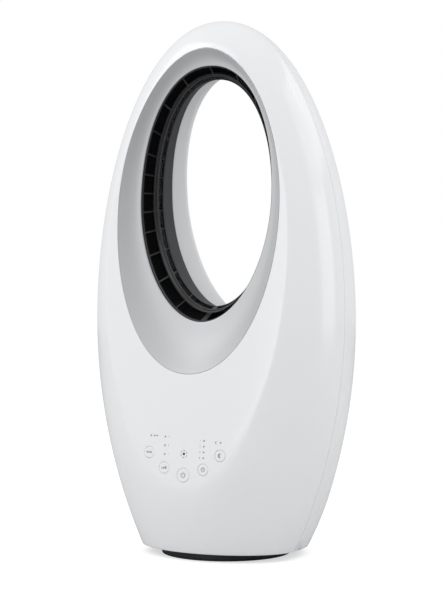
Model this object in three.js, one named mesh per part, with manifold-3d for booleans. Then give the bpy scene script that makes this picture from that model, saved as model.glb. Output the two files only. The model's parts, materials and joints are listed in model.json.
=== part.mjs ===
// Bladeless fan with an egg-shaped body: a free-standing air loop on a round turntable foot.
// Millimetres, +Z up, +X right, the front looks along -Y. The origin lies on the floor, under
// the middle of the object. An impeller in the lower body draws air in through the rear
// grille and blows it up into the hollow loop, which lets it out through the slots of its
// inner ring. The body swings on the foot, turned by a pinion that rolls round a fixed gear.
import * as THREE from 'three';
import { mergeVertices } from 'three/addons/utils/BufferGeometryUtils.js';
import Module from 'manifold-3d';

const wasm = await Module();
wasm.setup();

// ---------------------------------------------------------------- driving dimensions, mm
const GAP = 0.3;                 // between pieces that touch or seat on each other
const WALL = 2.6;                // moulded shells

// The loop's opening, seen from the front: half width, reach up and down from its widest
// place, and roundness of its upper and lower half, where 2 is an ellipse.
const OPENING = { w: 102, up: 178.1, down: 181.7, upRound: 1.9, downRound: 2.06 };
const OPENING_LOW = 204.9;       // its lowest point over the floor
const CROWN = 35.3;              // body above the opening

// Egg-shaped body, in side curves that rise from the floor to the crown.
const SHELL_BOTTOM = 8.8;        // flat lower edge of both shells
const SEAM_Y = -14.2;            // parting plane between the front and the rear shell
const SIDE = { at: 271.5, size: 154.5, low: 395, rise: 1.92, bend: 2.11, sink: 1.19 };
const FRONT = { at: 216, size: 93, low: 293, rise: 2.07, bend: 2.07, sink: 2 };
const REAR = { at: 72, size: 107, low: 114, rise: 2.2, bend: 2.2, sink: 2 };
const FRONT_ROUND = 2;           // roundness of the level sections, 2 is an ellipse
const REAR_ROUND = 2.64;
const FACE_CUT = 35.6;           // how far the flat face cuts into the front, at the opening
const FACE_LEAN = 0.091;         // the face leans back by this much per mm of height
const FACE_CROWN = 1900;         // radius of the face's slight crown

// The tunnel's outlines, like the opening's, with how far their middle lies over its middle.
const LIP = { w: 83.25, over: 13.8, up: 146.5, down: 139.2, upRound: 2.15, downRound: 1.93 };
const BACK = { w: 90, over: 15.4, up: 150, down: 146, upRound: 2.1, downRound: 2.0 };
const NECK = { w: 70, up: 133, down: 121.3, lean: 0 };          // where the duct starts
const TAIL = { w: 65.2, up: 137.8, down: 129.2, lean: -0.145 };  // where the rear flare starts
const LIP_DEPTH = 21.4;          // behind the face
const LIP_LEAN = 0.06;
// Rings of the tunnel: way in (0 the lip, 1 the neck, 2 the tail), depth behind the lip.
const OUTER_SLOTS_END = { into: 0.58, depth: 16.2 };
const INNER_SLOTS_START = { into: 0.81, depth: 22.6 };
const DUCT_START = { into: 1, depth: 27.9 };
const COLLAR_START = { into: 1.41, depth: 45.7 };
const FLARE_START = { into: 2, depth: 71.3 };
const DISH = 4;                  // hollow of the front bezel
const BEZEL_RIM = 6;
const TRIM_WALL = 2.2;           // bezel, duct and collar
const COLLAR_RIM = 5;            // depth of the collar's rim in the rear shell's opening
const RIBS = 24;
const RIB_WIDTH = 1.6;
const JOINT_RIB = 6.5;            // the lowest rib, where the ring is closed
const GRILLE_BAND = 2;
const GRILLE_RIM = 2.7;
const RIB_CENTRE_OVER = 6.6;     // over the lip's middle
const NOZZLE_FRONT = 2.6;
const NOZZLE_SWELL = 5;
const NOZZLE_SLIT = 2.2;         // the air's way between the nozzle and the duct

// Control panel: places along the face, sideways and up from the panel's middle.
const PANEL_Z = 116;             // the panel's middle over the floor
const KEY_RADIUS = 6.5;
const POWER_KEY_RADIUS = 7.85;
const KEY_TRAVEL = 0.6;
const KEY_FLANGE = 1.2;
const KEY_LEDGE = 1;             // the flange stands out this far
const KEYS = [
  { name: 'key_swing', x: -44.3, z: 3.1, radius: KEY_RADIUS },
  { name: 'key_speed', x: -24.3, z: -12.8, radius: KEY_RADIUS },
  { name: 'key_power', x: 0, z: -19.8, radius: POWER_KEY_RADIUS },
  { name: 'key_timer', x: 24.3, z: -12.8, radius: KEY_RADIUS },
  { name: 'key_sleep', x: 44.3, z: 3.1, radius: KEY_RADIUS },
];
const LAMP_RADIUS = 0.9;
const SPEED_LAMP_Z = [1.8, 11.3, 20.8];
const TIMER_LAMP_Z = [-0.4, 5.8, 12, 18.2];
const LAMP_COLUMN_X = 24.3;
const SWING_LAMP = { x: -42.6, z: 21.4 };
const SLEEP_LAMP = { x: 44.6, z: 17 };
const RECEIVER = { x: 0, z: 3, radius: 3 };
const LIGHT_GUIDE = { wall: 1.6, lift: 0.6, side: 2, under: 4, over: 3.6 };
const BOARD_WALL = 1.6;
const SWITCH = { size: 6, depth: 3.4 };
const CONTROL_BOARD = { edge: 1, low: -26, side: -4, high: 35 };   // side: foot of its sides
const BOARD_POSTS = { lowX: 13, highIn: 10, in: 5.5 };
const POST_RADIUS = 3;

// Foot and turntable.
const BASE_RADIUS = 73;
const FOOT_HEIGHT = 1.8;
const FOOT_RADIUS = 7;
const FOOT_EDGE = 13;            // from the pan's rim to the middle of a foot
const BASE_FLOOR = 2;            // thickness of the pan's floor
const BASE_TOP = 7.6;
const BASE_RIM = 2.5;
const COVER_WALL = 1.6;
const BALLAST = 2;
const POST = 18;                 // hollow post that the body turns on
const POST_BORE = 9;             // way for the leads
const POST_TOP = 21;
const POST_SCREW_BITE = 8;        // in the post
const PAN_LIFT = 0.4;             // of the pan's skirt over the table
const PAN_SKIRT = 4;              // width of the skirt
const PAN_EDGE = 0.5;
const SLIDE_RING = { edge: 11, width: 12, wall: 1 };
const BOTTOM_WALL = 2.8;
const BOTTOM_GAP = 0.7;          // the shells' facets draw in round the cover
const SLEEVE = 4;                // wall round the post
const RETAINER_WALL = 2;
const RETAINER_RADIUS = 25;

// Swing drive: the pinion rolls round the fixed gear.
const TOOTH_MODULE = 1.5;
const GEAR_TEETH = 35;
const PINION_TEETH = 14;
const GEAR_WIDTH = 6;
const MESH_PLAY = 0.25;          // added to the distance between the two axes
const BACKLASH = 0.35;
const PRESSURE_ANGLE = 20;
const PINION_SHAFT = 2.5;
const SWING_MOTOR = { radius: 17, height: 19, ear: 22, earWall: 2 };

// Blower.
const BLOWER_FLOOR = 78;
const HOUSING = { clear: 8.9, wall: 2.4, top: 152, inlet: 46 };  // clear of the control board
const LEG = { radius: 4, edge: 10 };
const INLET = { radius: 38, height: 9 };
const IMPELLER = { clear: 13, eye: 24, blades: 9, width: 28, plate: 2, hub: 9, lift: 2 };
const BLADE_WALL = 1.8;
const BLADE_SWEEP = 42;          // degrees that a blade leans back from eye to rim
const SHAFT = 3;
const MOTOR = { radius: 30, height: 38, lift: 8 };
const DAMPER_WALL = 2;
const CARRIER_WALL = 2.4;
const VANES = 6;
const VANE_WALL = 2;

// Rear intake and inlet socket.
const INTAKE = { half: 72, low: 62, high: 214, corner: 26 };
const INTAKE_SLOT = 4.4;
const INTAKE_PITCH = 11;
const INTAKE_BORDER = 9;
const INTAKE_BAR = 4;
const INTAKE_GAP = 0.5;
const INTAKE_SINK = 0.4;
const SOCKET = { z: 34, radius: 4.2, bore: 3.2, block: 13, depth: 12, nose: 9, deep: 11 };
const MAIN_BOARD = { half: 30, front: -66, rear: -36, post: 5.7, postIn: 4 };
const TRANSFORMER = { in: 9, width: 18, front: 4, rear: 8, height: 12 };
const CAPACITOR = { in: 12, radius: 5, height: 12 };

// Shell screws, in pairs left and right. The upper ones stand at a share of the way from the
// opening to the shell's side, the low one beside the intake grille.
const UPPER_SCREWS = [{ over: 13.4, share: 0.35 }, { over: -146.6, share: 0.65 }];
const LOW_SCREW = { z: 62, beside: 12 };
const BOSS_RADIUS = 4.5;
const SCREW = { shank: 1.5, head: 2.9, headWall: 2.4, web: 7, length: 19 };

// Faceting.
const BOTTOM_COLUMNS = 5;        // each side of the middle
const SIDE_COLUMNS = 19;
const SHELL_ROWS = 7;
const ROUND = 24;
const BASE_ROUND = 40;
const KEY_ROUND = 16;
const SMALL_ROUND = 8;

// ---------------------------------------------------------------- places that follow from them
const OPENING_Z = OPENING_LOW + OPENING.down;
const HEIGHT = OPENING_Z + OPENING.up + CROWN;
const LIP_Z = OPENING_Z + LIP.over;
const BACK_Z = OPENING_Z + BACK.over;
const RIB_CENTRE_Z = LIP_Z + RIB_CENTRE_OVER;
const FACE_Y = SEAM_Y - FRONT.size + FACE_CUT;
const LIP_Y = FACE_Y + LIP_DEPTH;

// ---------------------------------------------------------------- meshes and booleans
function bare(geometry) {
  const copy = geometry.clone();
  copy.deleteAttribute('normal');
  copy.deleteAttribute('uv');
  return mergeVertices(copy, 1e-5);
}

function toSolid(geometry) {
  const merged = bare(geometry);
  const vertProperties = new Float32Array(merged.attributes.position.array);
  const triVerts = new Uint32Array(merged.index.array);
  return new wasm.Manifold(new wasm.Mesh({ numProp: 3, vertProperties, triVerts }));
}

function toGeometry(solid) {
  const mesh = solid.getMesh();
  const geometry = new THREE.BufferGeometry();
  geometry.setAttribute('position', new THREE.BufferAttribute(mesh.vertProperties, 3));
  geometry.setIndex(new THREE.BufferAttribute(mesh.triVerts, 1));
  return geometry;
}

function join(first, ...others) {
  return toGeometry(others.reduce((sum, next) => sum.add(toSolid(next)), toSolid(first)));
}

function cut(first, ...others) {
  return toGeometry(others.reduce((rest, next) => rest.subtract(toSolid(next)), toSolid(first)));
}

function overlap(first, second) {
  return toGeometry(toSolid(first).intersect(toSolid(second)));
}

function volume(points, faces) {
  let sum = 0;
  for (let i = 0; i < faces.length; i += 3) {
    const [a, b, c] = [points[faces[i]], points[faces[i + 1]], points[faces[i + 2]]];
    sum += a.dot(b.clone().cross(c));
  }
  return sum;
}

function closedMesh(points, faces) {
  const outward = volume(points, faces) > 0;
  const index = [];
  for (let i = 0; i < faces.length; i += 3) {
    index.push(faces[i], faces[i + (outward ? 1 : 2)], faces[i + (outward ? 2 : 1)]);
  }
  const geometry = new THREE.BufferGeometry();
  geometry.setFromPoints(points);
  geometry.setIndex(index);
  return geometry;
}

// Faces between rings of equally many points, from each ring to the next.
function bandFaces(rings, count, closed) {
  const faces = [];
  const last = closed ? rings : rings - 1;
  for (let ring = 0; ring < last; ring += 1) {
    const next = (ring + 1) % rings;
    for (let i = 0; i < count; i += 1) {
      const j = (i + 1) % count;
      const [a, b] = [ring * count + i, ring * count + j];
      const [c, d] = [next * count + i, next * count + j];
      faces.push(a, b, d, a, d, c);
    }
  }
  return faces;
}

// A skin whose last ring joins its first, such as a wall with an opening.
function loopSkin(rings) {
  return closedMesh(rings.flat(), bandFaces(rings.length, rings[0].length, true));
}

// A grid of cells between a front and a back sheet, open where a cell isn't solid. Each sheet
// is a list of rows of points, and the rows may wrap round.
function perforatedSkin(front, back, isSolid, wraps) {
  const [rows, columns] = [front.length, front[0].length];
  const cellColumns = wraps ? columns : columns - 1;
  const points = [...front.flat(), ...back.flat()];
  const at = (row, column) => row * columns + column % columns;
  const behind = front.length * columns;
  const solid = (row, column) => {
    if (row < 0 || row > rows - 2) return false;
    if (!wraps && (column < 0 || column > cellColumns - 1)) return false;
    return isSolid(row, (column + cellColumns) % cellColumns);
  };
  const faces = [];
  const wall = (a, b) => faces.push(a, b, behind + b, a, behind + b, behind + a);
  for (let row = 0; row < rows - 1; row += 1) {
    for (let column = 0; column < cellColumns; column += 1) {
      if (!solid(row, column)) continue;
      const [a, b] = [at(row, column), at(row, column + 1)];
      const [c, d] = [at(row + 1, column), at(row + 1, column + 1)];
      faces.push(a, d, b, a, c, d);
      faces.push(behind + a, behind + b, behind + d, behind + a, behind + d, behind + c);
      if (!solid(row - 1, column)) wall(a, b);
      if (!solid(row + 1, column)) wall(d, c);
      if (!solid(row, column - 1)) wall(c, a);
      if (!solid(row, column + 1)) wall(b, d);
    }
  }
  return closedMesh(points, faces);
}

// A stack of rings closed by a point at each end.
function cappedStack(rings, start, end) {
  const count = rings[0].length;
  const points = rings.flat();
  const faces = bandFaces(rings.length, count, false);
  const tail = (rings.length - 1) * count;
  points.push(start, end);
  for (let i = 0; i < count; i += 1) {
    const j = (i + 1) % count;
    faces.push(points.length - 2, j, i, points.length - 1, tail + i, tail + j);
  }
  return closedMesh(points, faces);
}

function rod(radius, from, to, sides = SMALL_ROUND) {
  const [start, end] = [new THREE.Vector3(...from), new THREE.Vector3(...to)];
  const way = end.clone().sub(start);
  const geometry = new THREE.CylinderGeometry(radius, radius, way.length(), sides);
  geometry.applyQuaternion(new THREE.Quaternion().setFromUnitVectors(
    new THREE.Vector3(0, 1, 0), way.clone().normalize()));
  return geometry.translate(...start.add(end).multiplyScalar(0.5).toArray());
}

function block(low, high) {
  const size = high.map((value, i) => value - low[i]);
  const middle = high.map((value, i) => (value + low[i]) / 2);
  return new THREE.BoxGeometry(...size).translate(...middle);
}

// A turned piece on the Z axis, from its closed profile of [radius, height] points.
function turned(profile, sides = ROUND) {
  const points = [...profile, profile[0]].map(([r, z]) => new THREE.Vector2(r, z));
  return new THREE.LatheGeometry(points, sides).rotateX(Math.PI / 2);
}

function ringPlate(inner, outer, low, high, sides = ROUND) {
  return turned([[inner, low], [outer, low], [outer, high], [inner, high]], sides);
}

// A flat outline in X and Y, raised from one height to another.
function raised(outline, low, high) {
  const shape = new THREE.Shape(outline.map(([x, y]) => new THREE.Vector2(x, y)));
  return new THREE.ExtrudeGeometry(shape, { depth: high - low, bevelEnabled: false, steps: 1 })
    .translate(0, 0, low);
}

// ---------------------------------------------------------------- the egg's surfaces
function signedPower(value, power) {
  return Math.sign(value) * Math.abs(value) ** power;
}

function reach(z, form, inset) {
  if (z < form.at) {
    const share = Math.max(0, 1 - ((form.at - z) / form.low) ** 2) ** (1 / form.sink);
    return Math.max(0, form.size * share - inset);
  }
  const share = Math.max(0, 1 - ((z - form.at) / (HEIGHT - inset - form.at)) ** form.rise);
  return (form.size - inset) * share ** (1 / form.bend);
}

function depthAt(x, z, form, round, inset) {
  const width = reach(z, SIDE, inset);
  const across = width > 0 ? Math.min(1, Math.abs(x) / width) : 1;
  return reach(z, form, inset) * (1 - across ** round) ** (1 / round);
}

function faceY(x, z) {
  return FACE_Y + FACE_LEAN * (z - OPENING_Z) + x * x / (2 * FACE_CROWN);
}

function frontDomeY(x, z, inset) {
  return SEAM_Y - GAP / 2 - depthAt(x, z, FRONT, FRONT_ROUND, inset);
}

function frontY(x, z, inset) {
  return Math.max(frontDomeY(x, z, inset), faceY(x, z) + inset);
}

function rearY(x, z, inset) {
  return SEAM_Y + GAP / 2 + depthAt(x, z, REAR, REAR_ROUND, inset);
}

const FORMS = {
  opening: { ...OPENING, z: OPENING_Z },
  lip: { ...LIP, z: LIP_Z, lean: LIP_LEAN },
  back: { ...BACK, z: BACK_Z },
};

function outlinePoint(form, turn, grow = 0) {
  const up = Math.sin(turn) > 0;
  const round = up ? form.upRound : form.downRound;
  return {
    x: (form.w + grow) * signedPower(Math.cos(turn), 2 / round),
    z: form.z + ((up ? form.up : form.down) + grow) * signedPower(Math.sin(turn), 2 / round),
  };
}

// Turns round the loop, from its foot up the right side and down the left. The lowest ones
// aim at even steps along the rounded bottom edge, so a ray meets each bottom corner.
function loopTurns(inset) {
  const width = reach(SHELL_BOTTOM, SIDE, inset);
  const drop = OPENING_Z - SHELL_BOTTOM;
  const right = [];
  for (let i = 0; i <= BOTTOM_COLUMNS; i += 1) {
    const slope = width * Math.sin(Math.PI / 2 * i / BOTTOM_COLUMNS) / drop;
    const side = (slope * OPENING.down / OPENING.w) ** (OPENING.downRound / 2);
    right.push(-Math.atan2(1, side));
  }
  const corner = right.at(-1);
  for (let i = 1; i <= SIDE_COLUMNS; i += 1) {
    right.push(corner + (Math.PI / 2 - corner) * i / SIDE_COLUMNS);
  }
  const left = right.slice(1, -1).reverse().map((turn) => Math.PI - turn);
  return [...right, ...left];
}

const TURNS = loopTurns(0);

// Where the ray through an opening point leaves the egg's outline, seen from the front.
function outlineEnd(turn, inset) {
  const start = outlinePoint(FORMS.opening, turn);
  const way = { x: start.x, z: start.z - OPENING_Z };
  let [near, far] = [1, 4];
  for (let i = 0; i < 50; i += 1) {
    const step = (near + far) / 2;
    const z = OPENING_Z + way.z * step;
    const inside = z > SHELL_BOTTOM && Math.abs(way.x * step) < reach(z, SIDE, inset);
    [near, far] = inside ? [step, far] : [near, step];
  }
  return { x: way.x * near, z: Math.max(SHELL_BOTTOM, OPENING_Z + way.z * near) };
}

function between(a, b, share) {
  return { x: a.x + (b.x - a.x) * share, z: a.z + (b.z - a.z) * share };
}

// Share of the way from the opening to the outline at which the flat face meets the dome.
function creaseShare(start, end, inset) {
  let [near, far] = [0, 1];
  for (let i = 0; i < 40; i += 1) {
    const middle = (near + far) / 2;
    const { x, z } = between(start, end, middle);
    const flat = frontDomeY(x, z, inset) < faceY(x, z) + inset;
    [near, far] = flat ? [middle, far] : [near, middle];
  }
  return Math.min(0.9, Math.max(0.08, near));
}

function easedShares(start, rows) {
  const shares = [];
  for (let i = 1; i <= rows; i += 1) {
    shares.push(start + (1 - start) * Math.sin(Math.PI / 2 * i / rows));
  }
  return shares;
}

// One surface of a shell, as rings from its opening to the seam.
function surfaceRings(startForm, height, creased, inset) {
  const columns = loopTurns(inset).map((turn) => {
    const start = outlinePoint(startForm, turn);
    const end = outlineEnd(turn, inset);
    const crease = creased ? creaseShare(start, end, inset) : 0;
    const shares = creased ? [0, crease / 2, crease] : [0];
    return [...shares, ...easedShares(crease, SHELL_ROWS)].map((share) => {
      const { x, z } = between(start, end, share);
      return new THREE.Vector3(x, height(x, z, inset), z);
    });
  });
  return columns[0].map((_, row) => columns.map((column) => column[row]));
}

function shellWall(startForm, height, creased) {
  const outer = surfaceRings(startForm, height, creased, 0);
  const inner = surfaceRings(startForm, height, creased, WALL);
  return loopSkin([...outer, ...inner.reverse()]);
}

// The space inside a shell up to the middle of its wall: what is moulded on it ends there.
function shellCore(height, creased, seamY) {
  const rings = surfaceRings(FORMS.opening, height, creased, WALL / 2);
  const front = new THREE.Vector3(0, height(0, OPENING_Z, WALL / 2), OPENING_Z);
  return cappedStack(rings, front, new THREE.Vector3(0, seamY, OPENING_Z));
}

// ---------------------------------------------------------------- the panel's own frame
// Its origin lies on the face at PANEL_Z, its Y runs into the body, square to the face.
const panelFrame = new THREE.Matrix4()
  .makeRotationX(-Math.atan(FACE_LEAN))
  .setPosition(0, faceY(0, PANEL_Z), PANEL_Z);

function onPanel({ x, z }) {
  return { x, z, y: x * x / (2 * FACE_CROWN) };
}

function panelRod(place, radius, from, to, sides = SMALL_ROUND) {
  const { x, y, z } = onPanel(place);
  return rod(radius, [x, y + from, z], [x, y + to, z], sides);
}

const LAMPS = [
  SWING_LAMP,
  SLEEP_LAMP,
  ...SPEED_LAMP_Z.map((z) => ({ x: -LAMP_COLUMN_X, z })),
  ...TIMER_LAMP_Z.map((z) => ({ x: LAMP_COLUMN_X, z })),
];
const FLANGE_Y = WALL + 5 * GAP;   // clear of the wall where it bends back at the crease
const STEM_END = FLANGE_Y + KEY_FLANGE + 3;
const SWITCH_TOP = STEM_END + KEY_TRAVEL + GAP;
const BOARD_Y = SWITCH_TOP + SWITCH.depth;
const BOARD_HALF = Math.max(...KEYS.map((key) => key.x)) + SWITCH.size / 2 + CONTROL_BOARD.edge;
const BOARD_REAR = BOARD_Y + BOARD_WALL;
const BOARD_POST_PLACES = [-1, 1].flatMap((side) => [
  { x: side * BOARD_POSTS.lowX, z: CONTROL_BOARD.low + BOARD_POSTS.in },
  { x: side * (BOARD_HALF - BOARD_POSTS.highIn), z: CONTROL_BOARD.high - BOARD_POSTS.in },
]);

// ---------------------------------------------------------------- shells
function frontShell() {
  const core = shellCore(frontY, true, SEAM_Y - GAP / 2);
  const panelCore = core.clone().applyMatrix4(panelFrame.clone().invert());
  const bosses = screwPlaces().map(([x, z]) =>
    overlap(rod(BOSS_RADIUS, [x, -HEIGHT / 2, z], [x, SEAM_Y - GAP / 2, z]), core));
  const pilots = screwPlaces().map(([x, z]) =>
    rod(SCREW.shank + GAP, [x, SEAM_Y - SCREW.length, z], [x, 0, z]));
  const posts = BOARD_POST_PLACES.map(({ x, z }) => {
    const post = rod(POST_RADIUS, [x, -WALL, z], [x, BOARD_Y - GAP, z]);
    return overlap(post, panelCore).applyMatrix4(panelFrame);
  });
  const holes = [
    ...KEYS.map((key) => panelRod(key, key.radius, -WALL, 2 * WALL, KEY_ROUND)),
    ...KEYS.map((key) => panelRod(key, key.radius + KEY_LEDGE + GAP, FLANGE_Y - GAP, BOARD_Y, KEY_ROUND)),
    ...LAMPS.map((lamp) => panelRod(lamp, LAMP_RADIUS + GAP, -WALL, 2 * WALL, 6)),
    panelRod(RECEIVER, RECEIVER.radius + GAP, -WALL, 2 * WALL),
  ];
  const shell = join(shellWall(FORMS.opening, frontY, true), ...bosses, ...posts);
  return cut(shell, ...pilots, ...holes.map((hole) => hole.applyMatrix4(panelFrame)));
}

// Half width of the opening at a height.
function openingHalf(z) {
  const up = z > OPENING_Z;
  const round = up ? OPENING.upRound : OPENING.downRound;
  const height = Math.abs(z - OPENING_Z) / (up ? OPENING.up : OPENING.down);
  return OPENING.w * Math.max(0, 1 - height ** round) ** (1 / round);
}

function screwPlaces() {
  const upper = UPPER_SCREWS.map(({ over, share }) => {
    const z = OPENING_Z + over;
    return [openingHalf(z) * (1 - share) + reach(z, SIDE, WALL) * share, z];
  });
  const all = [...upper, [INTAKE.half + LOW_SCREW.beside, LOW_SCREW.z]];
  return all.flatMap(([x, z]) => [[x, z], [-x, z]]);
}

function intakeOutline(shrink) {
  const shape = new THREE.Shape();
  const half = INTAKE.half - shrink;
  const [low, high] = [INTAKE.low + shrink, INTAKE.high - shrink];
  const corner = INTAKE.corner - shrink;
  shape.moveTo(half - corner, low);
  shape.absarc(half - corner, low + corner, corner, -Math.PI / 2, 0);
  shape.absarc(half - corner, high - corner, corner, 0, Math.PI / 2);
  shape.absarc(corner - half, high - corner, corner, Math.PI / 2, Math.PI);
  shape.absarc(corner - half, low + corner, corner, Math.PI, 1.5 * Math.PI);
  return shape;
}

function intakePrism(shrink) {
  return new THREE.ExtrudeGeometry(intakeOutline(shrink),
    { depth: HEIGHT / 2, bevelEnabled: false, curveSegments: 5 }).rotateX(Math.PI / 2)
    .translate(0, HEIGHT / 2, 0);
}

function rearShell() {
  const core = shellCore(rearY, false, SEAM_Y + GAP / 2);
  const bosses = screwPlaces().map(([x, z]) =>
    overlap(rod(BOSS_RADIUS, [x, SEAM_Y + GAP / 2, z], [x, HEIGHT / 2, z]), core));
  const holes = screwPlaces().flatMap(([x, z]) => [
    rod(SCREW.shank + GAP, [x, SEAM_Y - 1, z], [x, SEAM_Y + SCREW.web + 1, z]),
    rod(SCREW.head + GAP, [x, SEAM_Y + SCREW.web, z], [x, HEIGHT / 2, z]),
  ]);
  const socketHole = rod(SOCKET.radius + GAP, [0, 0, SOCKET.z], [0, HEIGHT / 2, SOCKET.z], KEY_ROUND);
  const shell = join(shellWall(FORMS.back, rearY, false), ...bosses);
  return cut(shell, intakePrism(0), socketHole, ...holes);
}

// Half width of the intake's outline at a height, drawn in by a border.
function intakeHalf(z, border) {
  const nearEnd = Math.min(z - INTAKE.low, INTAKE.high - z);
  const into = Math.min(INTAKE.corner - border, Math.max(0, INTAKE.corner - nearEnd));
  const corner = INTAKE.corner - border;
  return INTAKE.half - border - corner + Math.sqrt(Math.max(0, corner ** 2 - into ** 2));
}

function intakeGrille() {
  const rows = [INTAKE.low + INTAKE_GAP];
  const count = Math.floor((INTAKE.high - INTAKE.low - 2 * INTAKE_BORDER) / INTAKE_PITCH);
  const first = (INTAKE.low + INTAKE.high - (count - 1) * INTAKE_PITCH - INTAKE_SLOT) / 2;
  for (let i = 0; i < count; i += 1) {
    rows.push(first + i * INTAKE_PITCH, first + i * INTAKE_PITCH + INTAKE_SLOT);
  }
  rows.push(INTAKE.high - INTAKE_GAP);
  const sheet = (inset) => rows.map((z, row) => {
    const edge = row === 0 || row === rows.length - 1;
    const end = intakeHalf(z, INTAKE_GAP);
    const slotEnd = edge ? end - 2 : intakeHalf(z, INTAKE_BORDER);
    const half = INTAKE_BAR / 2;
    const right = [half, half + (slotEnd - half) / 3, half + (slotEnd - half) * 2 / 3, slotEnd, end];
    const all = [...right.map((x) => -x).reverse(), ...right];
    return all.map((x) => new THREE.Vector3(x, rearY(x, z, inset), z));
  });
  const isSolid = (row, column) => row % 2 === 0 || [0, 4, 8].includes(column);
  return perforatedSkin(sheet(INTAKE_SINK), sheet(INTAKE_SINK + WALL), isSolid, false);
}

// ---------------------------------------------------------------- trim round the tunnel
function tunnelForm(into) {
  const [from, to, share] = into < 1 ? [FORMS.lip, NECK, into] : [NECK, TAIL, into - 1];
  const form = { ...FORMS.lip };
  for (const key of ["w", "up", "down", "lean"]) {
    form[key] = from[key] + (to[key] - from[key]) * share;
  }
  return form;
}

function tunnelY(into, depth, z) {
  return LIP_Y + depth + tunnelForm(into).lean * (z - LIP_Z);
}

function tunnelRing({ into, depth }, out = 0, back = 0) {
  const form = tunnelForm(into);
  return TURNS.map((turn) => {
    const { x, z } = outlinePoint(form, turn, out);
    return new THREE.Vector3(x, tunnelY(into, depth + back, z), z);
  });
}

function bezelRing(share, out, back) {
  return TURNS.map((turn) => {
    const outer = outlinePoint(FORMS.opening, turn, out - GAP);
    const inner = outlinePoint(FORMS.lip, turn, out);
    const innerY = tunnelY(0, 0, inner.z);
    const { x, z } = between(outer, inner, share);
    const y = faceY(outer.x, outer.z) * (1 - share) + innerY * share;
    return new THREE.Vector3(x, y + back + DISH * Math.sin(Math.PI * share), z);
  });
}

function frontBezel() {
  return loopSkin([
    bezelRing(0, 0, 0),
    bezelRing(0.3, 0, 0),
    bezelRing(0.65, 0, 0),
    bezelRing(1, 0, 0),
    bezelRing(1, 0, TRIM_WALL),
    bezelRing(0.55, 0, TRIM_WALL),
    bezelRing(0, -TRIM_WALL, BEZEL_RIM),
    bezelRing(0, 0, BEZEL_RIM),
  ]);
}

// Point of the tunnel's surface at a true angle about the middle of the ribs.
function tunnelPointAt(angle, into, depth) {
  const form = tunnelForm(into);
  const [c, s] = [Math.cos(angle), Math.sin(angle)];
  let [near, far] = [0, 2 * LIP.up];
  for (let i = 0; i < 40; i += 1) {
    const radius = (near + far) / 2;
    const dz = RIB_CENTRE_Z + radius * s - form.z;
    const height = dz > 0 ? form.up : form.down;
    const round = dz > 0 ? form.upRound : form.downRound;
    const inside = Math.abs(radius * c / form.w) ** round + Math.abs(dz / height) ** round < 1;
    [near, far] = inside ? [radius, far] : [near, radius];
  }
  const z = RIB_CENTRE_Z + near * s;
  return new THREE.Vector3(near * c, tunnelY(into, depth, z), z);
}

// Three bands joined by ribs: a wide row of slots in front and a narrow one behind it.
function outletGrille() {
  const bands = [
    { into: 0, depth: TRIM_WALL + GAP },
    { into: 0.09, depth: TRIM_WALL + GRILLE_RIM },
    OUTER_SLOTS_END,
    INNER_SLOTS_START,
    { into: 0.95, depth: DUCT_START.depth - GRILLE_RIM / 2 },
    { into: DUCT_START.into, depth: DUCT_START.depth - GAP },
  ];
  const sheet = (out) => bands.map(({ into, depth }) => {
    const row = [];
    for (let i = 0; i < RIBS; i += 1) {
      const angle = 2 * Math.PI * i / RIBS - Math.PI / 2;
      const middle = tunnelPointAt(angle, into, depth);
      const width = i === 0 ? JOINT_RIB : RIB_WIDTH;
      const half = width / 2 / Math.hypot(middle.x, middle.z - RIB_CENTRE_Z);
      for (const turn of [angle - half, angle + half, angle + Math.PI / RIBS]) {
        const way = new THREE.Vector3(Math.cos(turn), 0, Math.sin(turn));
        row.push(tunnelPointAt(turn, into, depth).addScaledVector(way, out));
      }
    }
    return row;
  });
  const isSolid = (row, column) => row % 2 === 0 || column % 3 === 0;
  return perforatedSkin(sheet(0), sheet(GRILLE_BAND), isSolid, true);
}

function airNozzle() {
  const front = { into: 0, depth: TRIM_WALL + DISH / 2 };
  const rear = { into: DUCT_START.into - 0.19, depth: DUCT_START.depth + 1 };
  const middle = { into: rear.into / 2, depth: (front.depth + rear.depth) / 2 };
  return loopSkin([
    tunnelRing(front, NOZZLE_FRONT),
    tunnelRing(middle, NOZZLE_SWELL),
    tunnelRing(rear, NOZZLE_SLIT + TRIM_WALL),
    tunnelRing(rear, NOZZLE_SLIT + 2 * TRIM_WALL),
    tunnelRing(front, NOZZLE_FRONT + 2 * TRIM_WALL),
  ]);
}

function innerDuct() {
  return loopSkin([
    tunnelRing(DUCT_START),
    tunnelRing(COLLAR_START, 0, -GAP),
    tunnelRing(COLLAR_START, TRIM_WALL, -GAP),
    tunnelRing(DUCT_START, TRIM_WALL),
  ]);
}

// Ring of the flare from the tail to the rear opening, moved out sideways or forward.
function flareRing(share, out = 0, forward = 0) {
  const tail = tunnelForm(FLARE_START.into);
  return TURNS.map((turn) => {
    const inner = outlinePoint(tail, turn);
    const outer = outlinePoint(FORMS.back, turn, -GAP);
    const { x, z } = between(inner, outer, share);
    const rear = rearY(outer.x, outer.z, 0);
    const ease = Math.sin(Math.PI / 2 * share);
    const way = new THREE.Vector3(outer.x, 0, outer.z - tail.z).normalize();
    const start = tunnelY(FLARE_START.into, FLARE_START.depth, inner.z);
    const y = start + (rear - start) * (0.35 * share + 0.65 * ease) - forward;
    return new THREE.Vector3(x, y, z).addScaledVector(way, out);
  });
}

function rearCollar() {
  return loopSkin([
    tunnelRing(COLLAR_START),
    tunnelRing(FLARE_START),
    flareRing(0.4),
    flareRing(1),
    flareRing(1, 0, COLLAR_RIM),
    flareRing(0.4, TRIM_WALL),
    tunnelRing(FLARE_START, TRIM_WALL),
    tunnelRing(COLLAR_START, TRIM_WALL),
  ]);
}

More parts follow.
